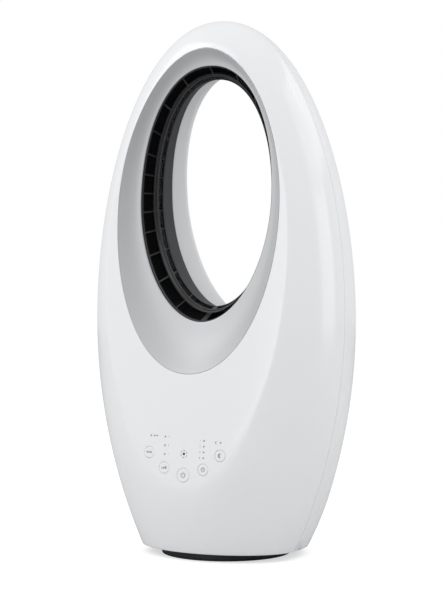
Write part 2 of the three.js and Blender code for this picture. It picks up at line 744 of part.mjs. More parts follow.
// ---------------------------------------------------------------- foot and turntable
const SLIDE_LOW = BASE_TOP + GAP;
const BOTTOM_LOW = SLIDE_LOW + SLIDE_RING.wall + GAP;
const BOTTOM_TOP = BOTTOM_LOW + BOTTOM_WALL;
const SLEEVE_TOP = POST_TOP - GAP;
const RETAINER_LOW = POST_TOP + GAP;
const GEAR_LOW = RETAINER_LOW + RETAINER_WALL + GAP;
const GEAR_TOP = GEAR_LOW + GEAR_WIDTH;
const GEAR_PITCH = TOOTH_MODULE * GEAR_TEETH / 2;
const PINION_PITCH = TOOTH_MODULE * PINION_TEETH / 2;
const PINION_Y = GEAR_PITCH + PINION_PITCH + MESH_PLAY;
const SWING_MOTOR_LOW = GEAR_TOP + 3;

function footPlaces() {
  const circle = BASE_RADIUS - FOOT_EDGE;
  return [45, 135, 225, 315].map((angle) => {
    const turn = THREE.MathUtils.degToRad(angle);
    return [circle * Math.cos(turn), circle * Math.sin(turn)];
  });
}

function postScrewPlaces() {
  const circle = (POST + POST_BORE) / 2;
  return [90, 210, 330].map((angle) => {
    const turn = THREE.MathUtils.degToRad(angle);
    return [circle * Math.cos(turn), circle * Math.sin(turn)];
  });
}

function basePan() {
  const low = FOOT_HEIGHT / 2;
  const floor = low + BASE_FLOOR;
  const pan = turned([
    [POST_BORE, low], [BASE_RADIUS - PAN_SKIRT, low], [BASE_RADIUS - PAN_SKIRT, PAN_LIFT],
    [BASE_RADIUS - PAN_EDGE, PAN_LIFT], [BASE_RADIUS, PAN_LIFT + PAN_EDGE],
    [BASE_RADIUS, BASE_TOP],
    [BASE_RADIUS - BASE_RIM, BASE_TOP], [BASE_RADIUS - BASE_RIM, floor], [POST, floor],
    [POST, POST_TOP], [POST_BORE, POST_TOP],
  ], BASE_ROUND);
  const recesses = footPlaces().map(([x, y]) =>
    rod(FOOT_RADIUS + GAP, [x, y, 0], [x, y, FOOT_HEIGHT + GAP], KEY_ROUND));
  const pilots = postScrewPlaces().map(([x, y]) =>
    rod(SCREW.shank + GAP, [x, y, POST_TOP - 9], [x, y, POST_TOP + 1], 8));
  return cut(pan, ...recesses, ...pilots);
}

function ballastDisc() {
  const low = FOOT_HEIGHT / 2 + BASE_FLOOR + GAP;
  return ringPlate(POST + GAP, BASE_RADIUS - BASE_RIM - GAP, low, low + BALLAST);
}

function slideRing() {
  const outer = BASE_RADIUS - SLIDE_RING.edge;
  return ringPlate(outer - SLIDE_RING.width, outer, SLIDE_LOW, SLIDE_LOW + SLIDE_RING.wall);
}

function baseCover() {
  return ringPlate(POST + GAP, BASE_RADIUS - BASE_RIM - GAP, BASE_TOP - COVER_WALL, BASE_TOP);
}

function bottomOutline() {
  const inset = WALL + BOTTOM_GAP;
  const half = reach(SHELL_BOTTOM, SIDE, inset);
  const front = [];
  const rear = [];
  for (let i = -BOTTOM_COLUMNS; i <= BOTTOM_COLUMNS; i += 1) {
    const x = half * Math.sin(Math.PI / 2 * i / BOTTOM_COLUMNS);
    front.push([x, frontY(x, SHELL_BOTTOM, inset)]);
    rear.push([x, rearY(x, SHELL_BOTTOM, inset)]);
  }
  return [...front, ...rear.reverse()];
}

function bottomCover() {
  const plate = raised(bottomOutline(), BOTTOM_LOW, BOTTOM_TOP);
  const sleeve = rod(POST + GAP + SLEEVE, [0, 0, BOTTOM_LOW], [0, 0, SLEEVE_TOP], ROUND);
  const pillars = [-1, 1].map((side) => rod(POST_RADIUS,
    [side * SWING_MOTOR.ear, PINION_Y, BOTTOM_LOW + 1],
    [side * SWING_MOTOR.ear, PINION_Y, SWING_MOTOR_LOW - GAP]));
  const boardPosts = boardPostPlaces().map(([x, y]) =>
    rod(POST_RADIUS, [x, y, BOTTOM_LOW + 1], [x, y, BOTTOM_TOP + MAIN_BOARD.post], 8));
  const bore = rod(POST + GAP, [0, 0, 0], [0, 0, 2 * SLEEVE_TOP], ROUND);
  const pilots = [-1, 1].map((side) => rod(SCREW.shank + GAP,
    [side * SWING_MOTOR.ear, PINION_Y, SWING_MOTOR_LOW - 7],
    [side * SWING_MOTOR.ear, PINION_Y, SWING_MOTOR_LOW], 8));
  return cut(join(plate, sleeve, ...pillars, ...boardPosts), bore, ...pilots);
}

// ---------------------------------------------------------------- swing drive
function involute(radius, base) {
  const lean = Math.acos(Math.min(1, base / radius));
  return Math.tan(lean) - lean;
}

// Spur gear outline: involute flanks, thinned by the backlash.
function gearOutline(teeth, turn) {
  const pitch = TOOTH_MODULE * teeth / 2;
  const base = pitch * Math.cos(THREE.MathUtils.degToRad(PRESSURE_ANGLE));
  const root = pitch - 1.25 * TOOTH_MODULE;
  const tip = pitch + TOOTH_MODULE;
  const halfTooth = Math.PI / (2 * teeth) - BACKLASH / 2 / pitch + involute(pitch, base);
  const start = Math.max(base, root + 0.2);
  const flank = [start, pitch, tip].map((radius) =>
    [radius, halfTooth - involute(radius, base)]);
  const outline = [];
  for (let i = 0; i < teeth; i += 1) {
    const middle = turn + 2 * Math.PI * i / teeth;
    const rise = flank.map(([radius, half]) => [radius, middle - half]);
    const fall = flank.map(([radius, half]) => [radius, middle + half]).reverse();
    const rootHalf = halfTooth - involute(start, base);
    outline.push([root, middle - rootHalf], ...rise, ...fall, [root, middle + rootHalf]);
  }
  return outline.map(([radius, angle]) => [radius * Math.cos(angle), radius * Math.sin(angle)]);
}

function fixedGear() {
  const gear = raised(gearOutline(GEAR_TEETH, Math.PI / 2), GEAR_LOW, GEAR_TOP);
  const holes = postScrewPlaces().map(([x, y]) =>
    rod(SCREW.shank + GAP, [x, y, GEAR_LOW - 1], [x, y, GEAR_TOP + 1], 8));
  return cut(gear, rod(POST_BORE, [0, 0, 0], [0, 0, 2 * GEAR_TOP], ROUND), ...holes);
}

function drivePinion() {
  const turn = -Math.PI / 2 + Math.PI / PINION_TEETH;
  const gear = raised(gearOutline(PINION_TEETH, turn), GEAR_LOW, GEAR_TOP);
  return join(gear, rod(PINION_SHAFT, [0, 0, GEAR_LOW + 1], [0, 0, SWING_MOTOR_LOW + 6]));
}

function retainer() {
  const ring = ringPlate(POST_BORE, RETAINER_RADIUS, RETAINER_LOW, RETAINER_LOW + RETAINER_WALL);
  const holes = postScrewPlaces().map(([x, y]) =>
    rod(SCREW.shank + GAP, [x, y, RETAINER_LOW - 1], [x, y, GEAR_LOW + 1], 8));
  return cut(ring, ...holes);
}

function swingMotor() {
  const { radius, height, ear, earWall } = SWING_MOTOR;
  const low = SWING_MOTOR_LOW;
  const can = rod(radius, [0, 0, low], [0, 0, low + height], ROUND);
  const earEnd = ear + POST_RADIUS;
  const ears = block([-earEnd, -POST_RADIUS, low], [earEnd, POST_RADIUS, low + earWall]);
  const bore = rod(PINION_SHAFT + GAP, [0, 0, low - 1], [0, 0, low + 6 + GAP]);
  const holes = [-1, 1].map((side) =>
    rod(SCREW.shank + GAP, [side * ear, 0, low - 1], [side * ear, 0, low + earWall + 1], 8));
  return cut(join(can, ears), bore, ...holes);
}

function screw(length) {
  const headLow = GAP;
  return join(
    rod(SCREW.head, [0, 0, headLow], [0, 0, headLow + SCREW.headWall], SMALL_ROUND),
    rod(SCREW.shank, [0, 0, -length], [0, 0, headLow + 1], 8),
  );
}

// ---------------------------------------------------------------- blower
const HOUSING_RADIUS = -faceY(0, HOUSING.top) - BOARD_REAR - HOUSING.clear;
const IMPELLER_RADIUS = HOUSING_RADIUS - IMPELLER.clear;
const INLET_TOP = BLOWER_FLOOR + HOUSING.wall + INLET.height / 2;
const BLADE_LOW = INLET_TOP + IMPELLER.lift;
const BLADE_TOP = BLADE_LOW + IMPELLER.width;
const MOTOR_LOW = BLADE_TOP + IMPELLER.plate + MOTOR.lift;
const MOTOR_TOP = MOTOR_LOW + MOTOR.height;

function housing() {
  const { wall, top, inlet } = HOUSING;
  const radius = HOUSING_RADIUS;
  const drum = turned([
    [inlet, BLOWER_FLOOR], [radius, BLOWER_FLOOR], [radius, top], [radius - wall, top],
    [radius - wall, BLOWER_FLOOR + wall], [inlet, BLOWER_FLOOR + wall],
  ]);
  const legs = [1, 3, 5, 7].map((eighth) => {
    const turn = eighth * Math.PI / 4;
    const [x, y] = [(radius - LEG.edge) * Math.cos(turn), (radius - LEG.edge) * Math.sin(turn)];
    return rod(LEG.radius, [x, y, BOTTOM_TOP + GAP], [x, y, BLOWER_FLOOR + 1], 8);
  });
  return join(drum, ...legs);
}

function inletRing() {
  const low = BLOWER_FLOOR - INLET.height / 2;
  const outer = HOUSING.inlet - GAP;
  const seat = BLOWER_FLOOR + HOUSING.wall + GAP;
  return turned([
    [INLET.radius + 3, low], [outer, low], [outer, seat], [outer + 3, seat],
    [outer + 3, seat + 1.6], [INLET.radius + 2, seat + 1.6], [INLET.radius + 1.6, INLET_TOP],
    [INLET.radius, INLET_TOP], [INLET.radius, BLOWER_FLOOR],
  ]);
}

function bladeOutline(turn) {
  const steps = 4;
  const edge = [];
  const back = [];
  for (let i = 0; i <= steps; i += 1) {
    const share = i / steps;
    const radius = IMPELLER.eye + (IMPELLER_RADIUS - 0.5 - IMPELLER.eye) * share;
    const angle = turn - THREE.MathUtils.degToRad(BLADE_SWEEP) * share ** 1.3;
    const thick = BLADE_WALL / radius;
    edge.push([radius * Math.cos(angle), radius * Math.sin(angle)]);
    back.push([radius * Math.cos(angle + thick), radius * Math.sin(angle + thick)]);
  }
  return [...edge, ...back.reverse()];
}

function impeller() {
  const plate = turned([
    [SHAFT + GAP, BLADE_LOW + 4], [IMPELLER.hub, BLADE_LOW + 4],
    [IMPELLER.hub + 3, BLADE_TOP - 6], [IMPELLER.eye, BLADE_TOP - 1],
    [IMPELLER_RADIUS, BLADE_TOP], [IMPELLER_RADIUS, BLADE_TOP + IMPELLER.plate],
    [IMPELLER.hub, BLADE_TOP + IMPELLER.plate], [IMPELLER.hub, BLADE_TOP + IMPELLER.plate + 4],
    [SHAFT + GAP, BLADE_TOP + IMPELLER.plate + 4],
  ]);
  const blades = [];
  for (let i = 0; i < IMPELLER.blades; i += 1) {
    const outline = bladeOutline(2 * Math.PI * i / IMPELLER.blades);
    blades.push(raised(outline, BLADE_LOW, BLADE_TOP + 0.5));
  }
  return join(plate, ...blades);
}

function blowerMotor() {
  return ringPlate(SHAFT + GAP, MOTOR.radius, MOTOR_LOW, MOTOR_TOP, ROUND);
}

function motorDamper() {
  const inner = MOTOR.radius + GAP;
  return ringPlate(inner, inner + DAMPER_WALL, MOTOR_LOW + 4, MOTOR_TOP - 6);
}

function motorCarrier() {
  const inner = MOTOR.radius + DAMPER_WALL + 2 * GAP;
  const outer = HOUSING_RADIUS - HOUSING.wall - GAP;
  const [low, high] = [MOTOR_LOW + 2, MOTOR_TOP - 4];
  const cup = ringPlate(inner, inner + CARRIER_WALL, low, high);
  const ledge = ringPlate(inner - DAMPER_WALL, inner + 1, low, low + 1.4);
  const rim = ringPlate(outer - CARRIER_WALL, outer, low, HOUSING.top);
  const vanes = [];
  for (let i = 0; i < VANES; i += 1) {
    const vane = block([inner + 1, -VANE_WALL / 2, low + 2], [outer - 1, VANE_WALL / 2, HOUSING.top - 2]);
    vanes.push(vane.rotateZ(2 * Math.PI * (i + 0.5) / VANES));
  }
  return join(cup, ledge, rim, ...vanes);
}

// ---------------------------------------------------------------- electrics
function boardPostPlaces() {
  const { half, front, rear, postIn } = MAIN_BOARD;
  return [-1, 1].flatMap((side) =>
    [front + postIn, rear - postIn].map((y) => [side * (half - postIn), y]));
}

function mainBoard() {
  const { half, front, rear, post } = MAIN_BOARD;
  const low = BOTTOM_TOP + post + GAP;
  const top = low + BOARD_WALL;
  const board = block([-half, front, low], [half, rear, top]);
  const left = -half + TRANSFORMER.in;
  const transformer = block([left, front + TRANSFORMER.front, low + 1],
    [left + TRANSFORMER.width, rear - TRANSFORMER.rear, top + TRANSFORMER.height]);
  const [x, y] = [half - CAPACITOR.in, (front + rear) / 2];
  const capacitor = rod(CAPACITOR.radius, [x, y, low + 1], [x, y, top + CAPACITOR.height]);
  return join(board, transformer, capacitor);
}

function socketBlock() {
  const noseEnd = rearY(0, SOCKET.z, 0);
  const back = noseEnd - SOCKET.nose;
  const half = SOCKET.block / 2;
  const body = block([-half, back - SOCKET.depth, SOCKET.z - half], [half, back, SOCKET.z + half]);
  const nose = rod(SOCKET.radius, [0, back - 1, SOCKET.z], [0, noseEnd, SOCKET.z], KEY_ROUND);
  const bore = rod(SOCKET.bore, [0, noseEnd - SOCKET.deep, SOCKET.z], [0, noseEnd + 1, SOCKET.z], KEY_ROUND);
  return cut(join(body, nose), bore);
}

function controlBoard() {
  const { low, side, high } = CONTROL_BOARD;
  const corners = [[LAMP_COLUMN_X + SWITCH.size / 2, low], [BOARD_HALF, side], [BOARD_HALF, high]];
  const right = corners.map(([x, z]) => new THREE.Vector2(x, z));
  const left = right.map(({ x, y }) => new THREE.Vector2(-x, y)).reverse();
  const board = new THREE.ExtrudeGeometry(new THREE.Shape([...right, ...left]),
    { depth: BOARD_WALL, bevelEnabled: false }).rotateX(Math.PI / 2).translate(0, BOARD_REAR, 0);
  const switches = KEYS.map((key) => {
    const { x, y, z } = onPanel(key);
    const s = SWITCH.size / 2;
    return block([x - s, y + SWITCH_TOP, z - s], [x + s, BOARD_Y + 1, z + s]);
  });
  return join(board, ...switches);
}

function lightGuide() {
  const { wall, lift, side, under, over } = LIGHT_GUIDE;
  const front = WALL + GAP + lift;
  const bar = (xLow, xHigh, low, high) =>
    block([xLow - side, front, low], [xHigh + side, front + wall, high]);
  const crossLow = SLEEP_LAMP.z - under;
  const column = LAMP_COLUMN_X;
  const strips = [
    bar(SWING_LAMP.x, SLEEP_LAMP.x, crossLow, SWING_LAMP.z + over),
    bar(-column, -column, SPEED_LAMP_Z[0] - side, crossLow + 1),
    bar(column, column, TIMER_LAMP_Z[0] - side, crossLow + 1),
  ];
  const pins = LAMPS.map((lamp) => panelRod(lamp, LAMP_RADIUS, GAP, front + wall / 2, 6));
  return join(...strips, ...pins);
}

function receiverWindow() {
  return join(
    panelRod(RECEIVER, RECEIVER.radius, 0.1, WALL + 1),
    panelRod(RECEIVER, RECEIVER.radius + 1.5, WALL + 2 * GAP, WALL + 2.4),
  );
}

function key({ x, z, radius }) {
  const place = { x, z };
  return join(
    panelRod(place, radius - GAP, 0, FLANGE_Y + 0.5, KEY_ROUND),
    panelRod(place, radius + KEY_LEDGE, FLANGE_Y, FLANGE_Y + KEY_FLANGE, KEY_ROUND),
    panelRod(place, 2, FLANGE_Y + 0.5, STEM_END),
  );
}

// ---------------------------------------------------------------- the assembly
const FINISHES = {
  glossWhite: { color: '#eceded', roughness: 0.2, metalness: 0 },
  satinSilver: { color: '#b4b6b8', roughness: 0.38, metalness: 0.5 },
  paleSilver: { color: '#c6c8ca', roughness: 0.35, metalness: 0.3 },
  blackPlastic: { color: '#17191c', roughness: 0.4, metalness: 0 },
  darkGrey: { color: '#414347', roughness: 0.45, metalness: 0 },
  rubber: { color: '#232323', roughness: 0.85, metalness: 0 },
  steel: { color: '#8f9397', roughness: 0.35, metalness: 1 },
  acetal: { color: '#e6e2d6', roughness: 0.4, metalness: 0 },
  board: { color: '#1f5a35', roughness: 0.5, metalness: 0 },
  clear: { color: '#dfe6ea', roughness: 0.1, metalness: 0 },
};

const fan = new THREE.Group();
const panel = new THREE.Group();
panel.applyMatrix4(panelFrame);
fan.add(panel);

function place(name, geometry, finish, parent = fan) {
  geometry.computeVertexNormals();
  const mesh = new THREE.Mesh(geometry, new THREE.MeshStandardMaterial(FINISHES[finish]));
  mesh.name = name;
  parent.add(mesh);
  return mesh;
}

place('base_pan', basePan(), 'blackPlastic');
place('ballast_disc', ballastDisc(), 'steel');
place('base_cover', baseCover(), 'blackPlastic');
footPlaces().forEach(([x, y], i) => {
  const foot = rod(FOOT_RADIUS, [0, 0, 0], [0, 0, FOOT_HEIGHT], KEY_ROUND);
  place(`rubber_foot_${i + 1}`, foot, 'rubber').position.set(x, y, 0);
});
place('slide_ring', slideRing(), 'acetal');
place('post_retainer', retainer(), 'steel');
place('fixed_gear', fixedGear(), 'acetal');
postScrewPlaces().forEach(([x, y], i) => {
  const length = GEAR_TOP - POST_TOP + POST_SCREW_BITE;
  place(`post_screw_${i + 1}`, screw(length), 'steel').position.set(x, y, GEAR_TOP);
});

place('front_shell', frontShell(), 'glossWhite');
place('rear_shell', rearShell(), 'glossWhite');
place('bottom_cover', bottomCover(), 'blackPlastic');
place('front_bezel', frontBezel(), 'satinSilver');
place('outlet_grille', outletGrille(), 'blackPlastic');
place('air_nozzle', airNozzle(), 'blackPlastic');
place('inner_duct', innerDuct(), 'darkGrey');
place('rear_collar', rearCollar(), 'paleSilver');
place('intake_grille', intakeGrille(), 'glossWhite');
screwPlaces().forEach(([x, z], i) => {
  const shellScrew = place(`shell_screw_${i + 1}`, screw(SCREW.length - 1), 'steel');
  shellScrew.rotation.x = -Math.PI / 2;
  shellScrew.position.set(x, SEAM_Y + SCREW.web, z);
});

place('control_board', controlBoard(), 'board', panel);
place('light_guide', lightGuide(), 'clear', panel);
place('receiver_window', receiverWindow(), 'blackPlastic', panel);
KEYS.forEach((item) => place(item.name, key(item), 'glossWhite', panel));

place('blower_housing', housing(), 'blackPlastic');
place('inlet_ring', inletRing(), 'blackPlastic');
place('impeller', impeller(), 'darkGrey');
place('motor_shaft', rod(SHAFT, [0, 0, BLADE_LOW + 6], [0, 0, MOTOR_TOP + 4]), 'steel');
place('blower_motor', blowerMotor(), 'steel');
place('motor_damper', motorDamper(), 'rubber');
place('motor_carrier', motorCarrier(), 'blackPlastic');

place('drive_pinion', drivePinion(), 'acetal').position.set(0, PINION_Y, 0);
place('swing_motor', swingMotor(), 'steel').position.set(0, PINION_Y, 0);
[-1, 1].forEach((side, i) => {
  const top = SWING_MOTOR_LOW + SWING_MOTOR.earWall;
  place(`motor_screw_${i + 1}`, screw(7), 'steel')
    .position.set(side * SWING_MOTOR.ear, PINION_Y, top);
});
place('main_board', mainBoard(), 'board');
place('power_socket', socketBlock(), 'blackPlastic');

// The middle of the object, front to back, stands over the origin.
const frontmost = new THREE.Box3().setFromObject(fan.getObjectByName('front_shell')).min.y;
const rearmost = new THREE.Box3().setFromObject(fan.getObjectByName('rear_shell')).max.y;
fan.position.y = -(frontmost + rearmost) / 2;
fan.updateMatrixWorld(true);

export default fan;
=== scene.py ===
"""Looks of a bladeless fan with an egg-shaped body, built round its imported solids.

Each operator builds one piece or a group of like pieces. Lengths in the constants are
millimetres of the real fan, with y from the upright axis that the body swings on. Meshes
are made in metres.
"""
import json
import math

import bmesh
import bpy
import numpy as np
from bpy.props import FloatProperty, FloatVectorProperty, PointerProperty
from mathutils import Matrix, Vector


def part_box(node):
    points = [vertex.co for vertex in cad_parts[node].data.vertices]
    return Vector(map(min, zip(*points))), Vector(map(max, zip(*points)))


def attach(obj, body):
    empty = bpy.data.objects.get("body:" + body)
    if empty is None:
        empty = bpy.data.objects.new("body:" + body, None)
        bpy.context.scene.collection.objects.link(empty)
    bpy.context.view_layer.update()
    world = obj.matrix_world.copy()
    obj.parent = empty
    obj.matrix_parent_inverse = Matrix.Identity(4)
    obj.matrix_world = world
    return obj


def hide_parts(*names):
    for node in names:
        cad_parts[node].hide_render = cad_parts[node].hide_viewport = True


bl_info = {
    "name": "Bladeless Fan",
    "version": (1, 0, 0),
    "blender": (4, 5, 0),
    "location": "View3D > Sidebar > Fan",
    "description": "Builds the body, tunnel, keys, foot and finishes of a bladeless fan",
    "category": "Object",
}

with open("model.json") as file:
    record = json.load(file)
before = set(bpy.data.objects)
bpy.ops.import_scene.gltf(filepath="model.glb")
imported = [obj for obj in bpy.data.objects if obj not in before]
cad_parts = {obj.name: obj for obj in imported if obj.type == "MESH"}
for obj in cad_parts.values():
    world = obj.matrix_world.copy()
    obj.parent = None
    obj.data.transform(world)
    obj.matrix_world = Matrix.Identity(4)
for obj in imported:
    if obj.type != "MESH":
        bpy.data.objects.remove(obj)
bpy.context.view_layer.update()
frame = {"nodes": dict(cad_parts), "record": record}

MM = 0.001
MERGE = 0.5e-6             # metres within which two points are one
SMOOTH_ANGLE = 34          # degrees up to which two faces are shaded as one
HALVINGS, OUTLINE_HALVINGS = 40, 50    # of the stretch in which a point is sought
pan_low, pan_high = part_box("base_pan")
TURN_Y = (pan_low.y + pan_high.y) / 2          # the upright axis that the body swings on

# ---------------------------------------------------------------- the fan's curves, mm
GAP = 0.3                  # between pieces that meet
WALL = 2.6                 # moulded shells
TRIM_WALL = 2.2            # ring pieces of the tunnel
SHELL_BOTTOM = 8.8
HEIGHT = 600
SEAM_Y = -14.2             # where the front shell meets the rear shell
FACE_Y = -71.6             # the flat face, at the height of the opening's middle
FACE_LEAN = 0.091          # how far it leans back for each mm up
FACE_CROWN = 1900          # radius of its crown from side to side
CREASE_SOFT = 1.3          # depth over which its crease is rounded, low down
CROWN_SOFT = 7             # and what is added to that near the crown,
CROWN_FADE = (380, 520)    # between these heights
LOW_SOFT = 6               # reach of the crease's fade below the panel,
LOW_FADE = (100, 175)      # between these heights
FRONT_ROUND, REAR_ROUND = 2, 2.64      # powers of the half shells' level sections

# Side curves of the body: height of the widest place, half size, reach below it, and the
# powers that bend the curve above and below.
SIDE = {"at": 271.5, "size": 154.2, "low": 395, "rise": 1.92, "bend": 2.11, "sink": 1.19}
FRONT = {"at": 216, "size": 93, "low": 293, "rise": 2.07, "bend": 2.07, "sink": 2}
REAR = {"at": 72, "size": 106.9, "low": 114, "rise": 2.2, "bend": 2.2, "sink": 2}

# Ovals seen from the front: half width, middle, reach up and down, and their roundness.
OPENING = {"w": 102, "z": 386.6, "up": 178.1, "down": 181.7, "upper": 1.9, "lower": 2.06}
LIP = {"w": 83.25, "z": 400.4, "up": 146.5, "down": 139.2, "upper": 2.15, "lower": 1.93,
       "lean": 0.06}
BACK = {"w": 90, "z": 402, "up": 150, "down": 146, "upper": 2.1, "lower": 2}
# The tunnel's neck, where the duct starts, and its tail, where the rear flare starts.
NECK = {"w": 70, "up": 133, "down": 121.3, "lean": 0}
TAIL = {"w": 65.2, "up": 137.8, "down": 129.2, "lean": -0.145}
LIP_Y = -50.2

# Rings of the tunnel: way in (0 the lip, 1 the neck, 2 the tail), depth behind the lip.
OUTER_SLOTS_END = (0.58, 16.2)
INNER_SLOTS_START = (0.81, 22.6)
DUCT_START = (1, 27.9)
COLLAR_START = (1.41, 45.7)
FLARE_START = (2, 71.3)
DISH, BEZEL_RIM, COLLAR_RIM = 4, 6, 5
RIBS, RIB_WIDTH, JOINT_RIB, RIB_MIDDLE_Z = 24, 1.5, 6.5, 407
GRILLE_WALL = 2

# Control panel, along the face, from its middle.
PANEL_Z = 116
KEYS = {
    "key_swing": (-44.3, 3.1, 6.5),
    "key_speed": (-24.3, -12.8, 6.5),
    "key_power": (0, -19.8, 7.85),
    "key_timer": (24.3, -12.8, 6.5),
    "key_sleep": (44.3, 3.1, 6.5),
}
SPEED_LAMPS = [(-24.3, z) for z in (1.8, 11.3, 20.8)]
TIMER_LAMPS = [(24.3, z) for z in (-0.4, 5.8, 12, 18.2)]
SIDE_LAMPS = [(-42.6, 21.4), (44.6, 17)]
LAMPS = SPEED_LAMPS + TIMER_LAMPS + SIDE_LAMPS
RECEIVER = (0, 3)
LAMP_HOLE, LAMP_RADIUS, RECEIVER_RADIUS = 1.05, 0.9, 1.3
CUT = (-8, 4)              # heights over the panel between which its holes are cut,
TIP, WINDOW = (-4.4, -0.05), (-4.8, 0.02)      # and those that tips and window fill

# Rear: slotted intake, socket and screw places.
INTAKE = {"half": 72, "low": 62, "high": 214, "corner": 26}
SOCKET_Z, SOCKET_RADIUS = 34, 4.2
SCREWS = [(114.8, 400), (119.9, 240), (84, 62)]
BOSS_MEET, HEAD_SEAT = -6.8, -4.1     # depths where the posts meet and the heads sit
BOSS_RADIUS, BOSS_SIDES, HEAD_HOLE = 5, 20, 3.2
# Depths between which the holes of the rear shell are cut.
INTAKE_CUT, SOCKET_CUT, SCREW_CUT = (20, 120), (0, 120), (HEAD_SEAT, 130)

# Foot.
BASE_RADIUS, BASE_TOP, POST, POST_BORE, POST_TOP = 73, 7.6, 18, 9, 21
FOOT_RADIUS, FOOT_CIRCLE, FOOT_HEIGHT = 7, 60, 1.8
PAN_LOW, PAN_WALL, PAN_FLOOR, PAN_RING = 0.4, 2.5, 2, 4
PAN_LOW_EASE, PAN_TOP_EASE, COVER_THICK = 0.5, 0.6, 1.6
PAD_RING, PAD_STEP, PAD_DISH = 1.6, 0.5, 0.4       # the underside of a rubber pad


def side_reach(z, form, inset=0.0):
    """Half size of the body at a height, drawn in by a wall."""
    z = np.asarray(z, float)
    below = np.maximum(0, 1 - ((form["at"] - z) / form["low"]) ** 2) ** (1 / form["sink"])
    height = (z - form["at"]) / (HEIGHT - inset - form["at"])
    above = np.maximum(0, 1 - np.maximum(0, height) ** form["rise"]) ** (1 / form["bend"])
    return np.where(z < form["at"], np.maximum(0, form["size"] * below - inset),
                    (form["size"] - inset) * above)


def depth_at(x, z, form, roundness, inset):
    """How far a half shell bulges from the seam at a point seen from the front."""
    width = np.maximum(side_reach(z, SIDE, inset), 1e-6)
    across = np.minimum(1, np.abs(x) / width)
    return side_reach(z, form, inset) * (1 - across ** roundness) ** (1 / roundness)


def face_y(x, z):
    return FACE_Y + FACE_LEAN * (z - OPENING["z"]) + x * x / (2 * FACE_CROWN)


def crease_depth(z):
    """Depth over which the crease is rounded at a height."""
    rise = (z - CROWN_FADE[0]) / (CROWN_FADE[1] - CROWN_FADE[0])
    return CREASE_SOFT + CROWN_SOFT * np.clip(rise, 0, 1) ** 2


def front_y(x, z, inset=0.0):
    """The flat face where it cuts the dome. The crease is crisp beside the opening, widens
    towards the crown, and fades out of the dome below the panel."""
    seam = SEAM_Y - GAP / 2
    dome = seam - depth_at(x, z, FRONT, FRONT_ROUND, inset)
    flat = face_y(x, z) + inset
    # The small last term keeps the fade over zero above the panel.
    fade = LOW_SOFT * np.clip((LOW_FADE[1] - z) / (LOW_FADE[1] - LOW_FADE[0]), 0, 1) + 0.01
    over = np.maximum(0, dome - flat)
    dome = dome - over * np.exp(-over / fade)
    soft = crease_depth(z)
    blend = np.maximum(0, soft - np.abs(dome - flat)) ** 2 / (4 * soft)
    return np.minimum(np.maximum(dome, flat) + blend, seam)


def rear_y(x, z, inset=0.0):
    return SEAM_Y + GAP / 2 + depth_at(x, z, REAR, REAR_ROUND, inset)


def oval(form, turn, grow=0.0):
    """Points of an oval at these turns, as x and z."""
    up = np.sin(turn) > 0
    power = 2 / np.where(up, form["upper"], form["lower"])
    reach = np.where(up, form["up"], form["down"]) + grow
    c, s = np.cos(turn), np.sin(turn)
    x = (form["w"] + grow) * np.sign(c) * np.abs(c) ** power
    return x, form["z"] + reach * np.sign(s) * np.abs(s) ** power


# Columns of a shell: along half its bottom edge, and from there up one side to the crown.
BOTTOM_COLUMNS, SIDE_COLUMNS = 20, 76


def loop_turns(inset=0.0):
    """Turns round the loop from its foot up the right side and down the left."""
    width = float(side_reach(SHELL_BOTTOM, SIDE, inset))
    drop = OPENING["z"] - SHELL_BOTTOM
    slopes = width * np.sin(np.pi / 2 * np.arange(BOTTOM_COLUMNS + 1) / BOTTOM_COLUMNS) / drop
    sides = (slopes * OPENING["down"] / OPENING["w"]) ** (OPENING["lower"] / 2)
    low = -np.arctan2(1, sides)
    rise = low[-1] + (np.pi / 2 - low[-1]) * np.arange(1, SIDE_COLUMNS + 1) / SIDE_COLUMNS
    right = np.concatenate([low, rise])
    return np.concatenate([right, np.pi - right[1:-1][::-1]])


TURNS = loop_turns()


def outline_end(turns, inset, lift=0.0):
    """Where the ray through an opening point leaves the body's outline, by halving."""
    start_x, start_z = oval(OPENING, turns)
    way_x, way_z = start_x, start_z - OPENING["z"]
    near, far = np.ones_like(turns), np.full_like(turns, 4.0)
    low = SHELL_BOTTOM + lift
    for _ in range(OUTLINE_HALVINGS):
        step = (near + far) / 2
        z = OPENING["z"] + way_z * step
        inside = (z > low) & (np.abs(way_x * step) < side_reach(z, SIDE, inset))
        near, far = np.where(inside, step, near), np.where(inside, far, step)
    return way_x * near, np.maximum(low, OPENING["z"] + way_z * near)


def points(x, y, z):
    """One array of points from three of numbers, or from a number where it is the same."""
    return np.stack(np.broadcast_arrays(x, y, z), axis=-1).astype(float)


# ---------------------------------------------------------------- colour and node helpers
def linear(colour):
    """An sRGB hex value as the linear colour that shaders take."""
    parts = [int(colour[i:i + 2], 16) / 255 for i in (1, 3, 5)]
    return tuple(c / 12.92 if c <= 0.04045 else ((c + 0.055) / 1.055) ** 2.4 for c in parts)


def add_node(tree, kind, inputs=None, **settings):
    """Adds a node, sets its settings, and fills or links its inputs, by name or number."""
    node = tree.nodes.new(kind)
    for name, value in settings.items():
        setattr(node, name, value)
    for socket, value in (inputs or {}).items():
        if isinstance(value, bpy.types.NodeSocket):
            tree.links.new(value, node.inputs[socket])
        else:
            node.inputs[socket].default_value = value
    return node


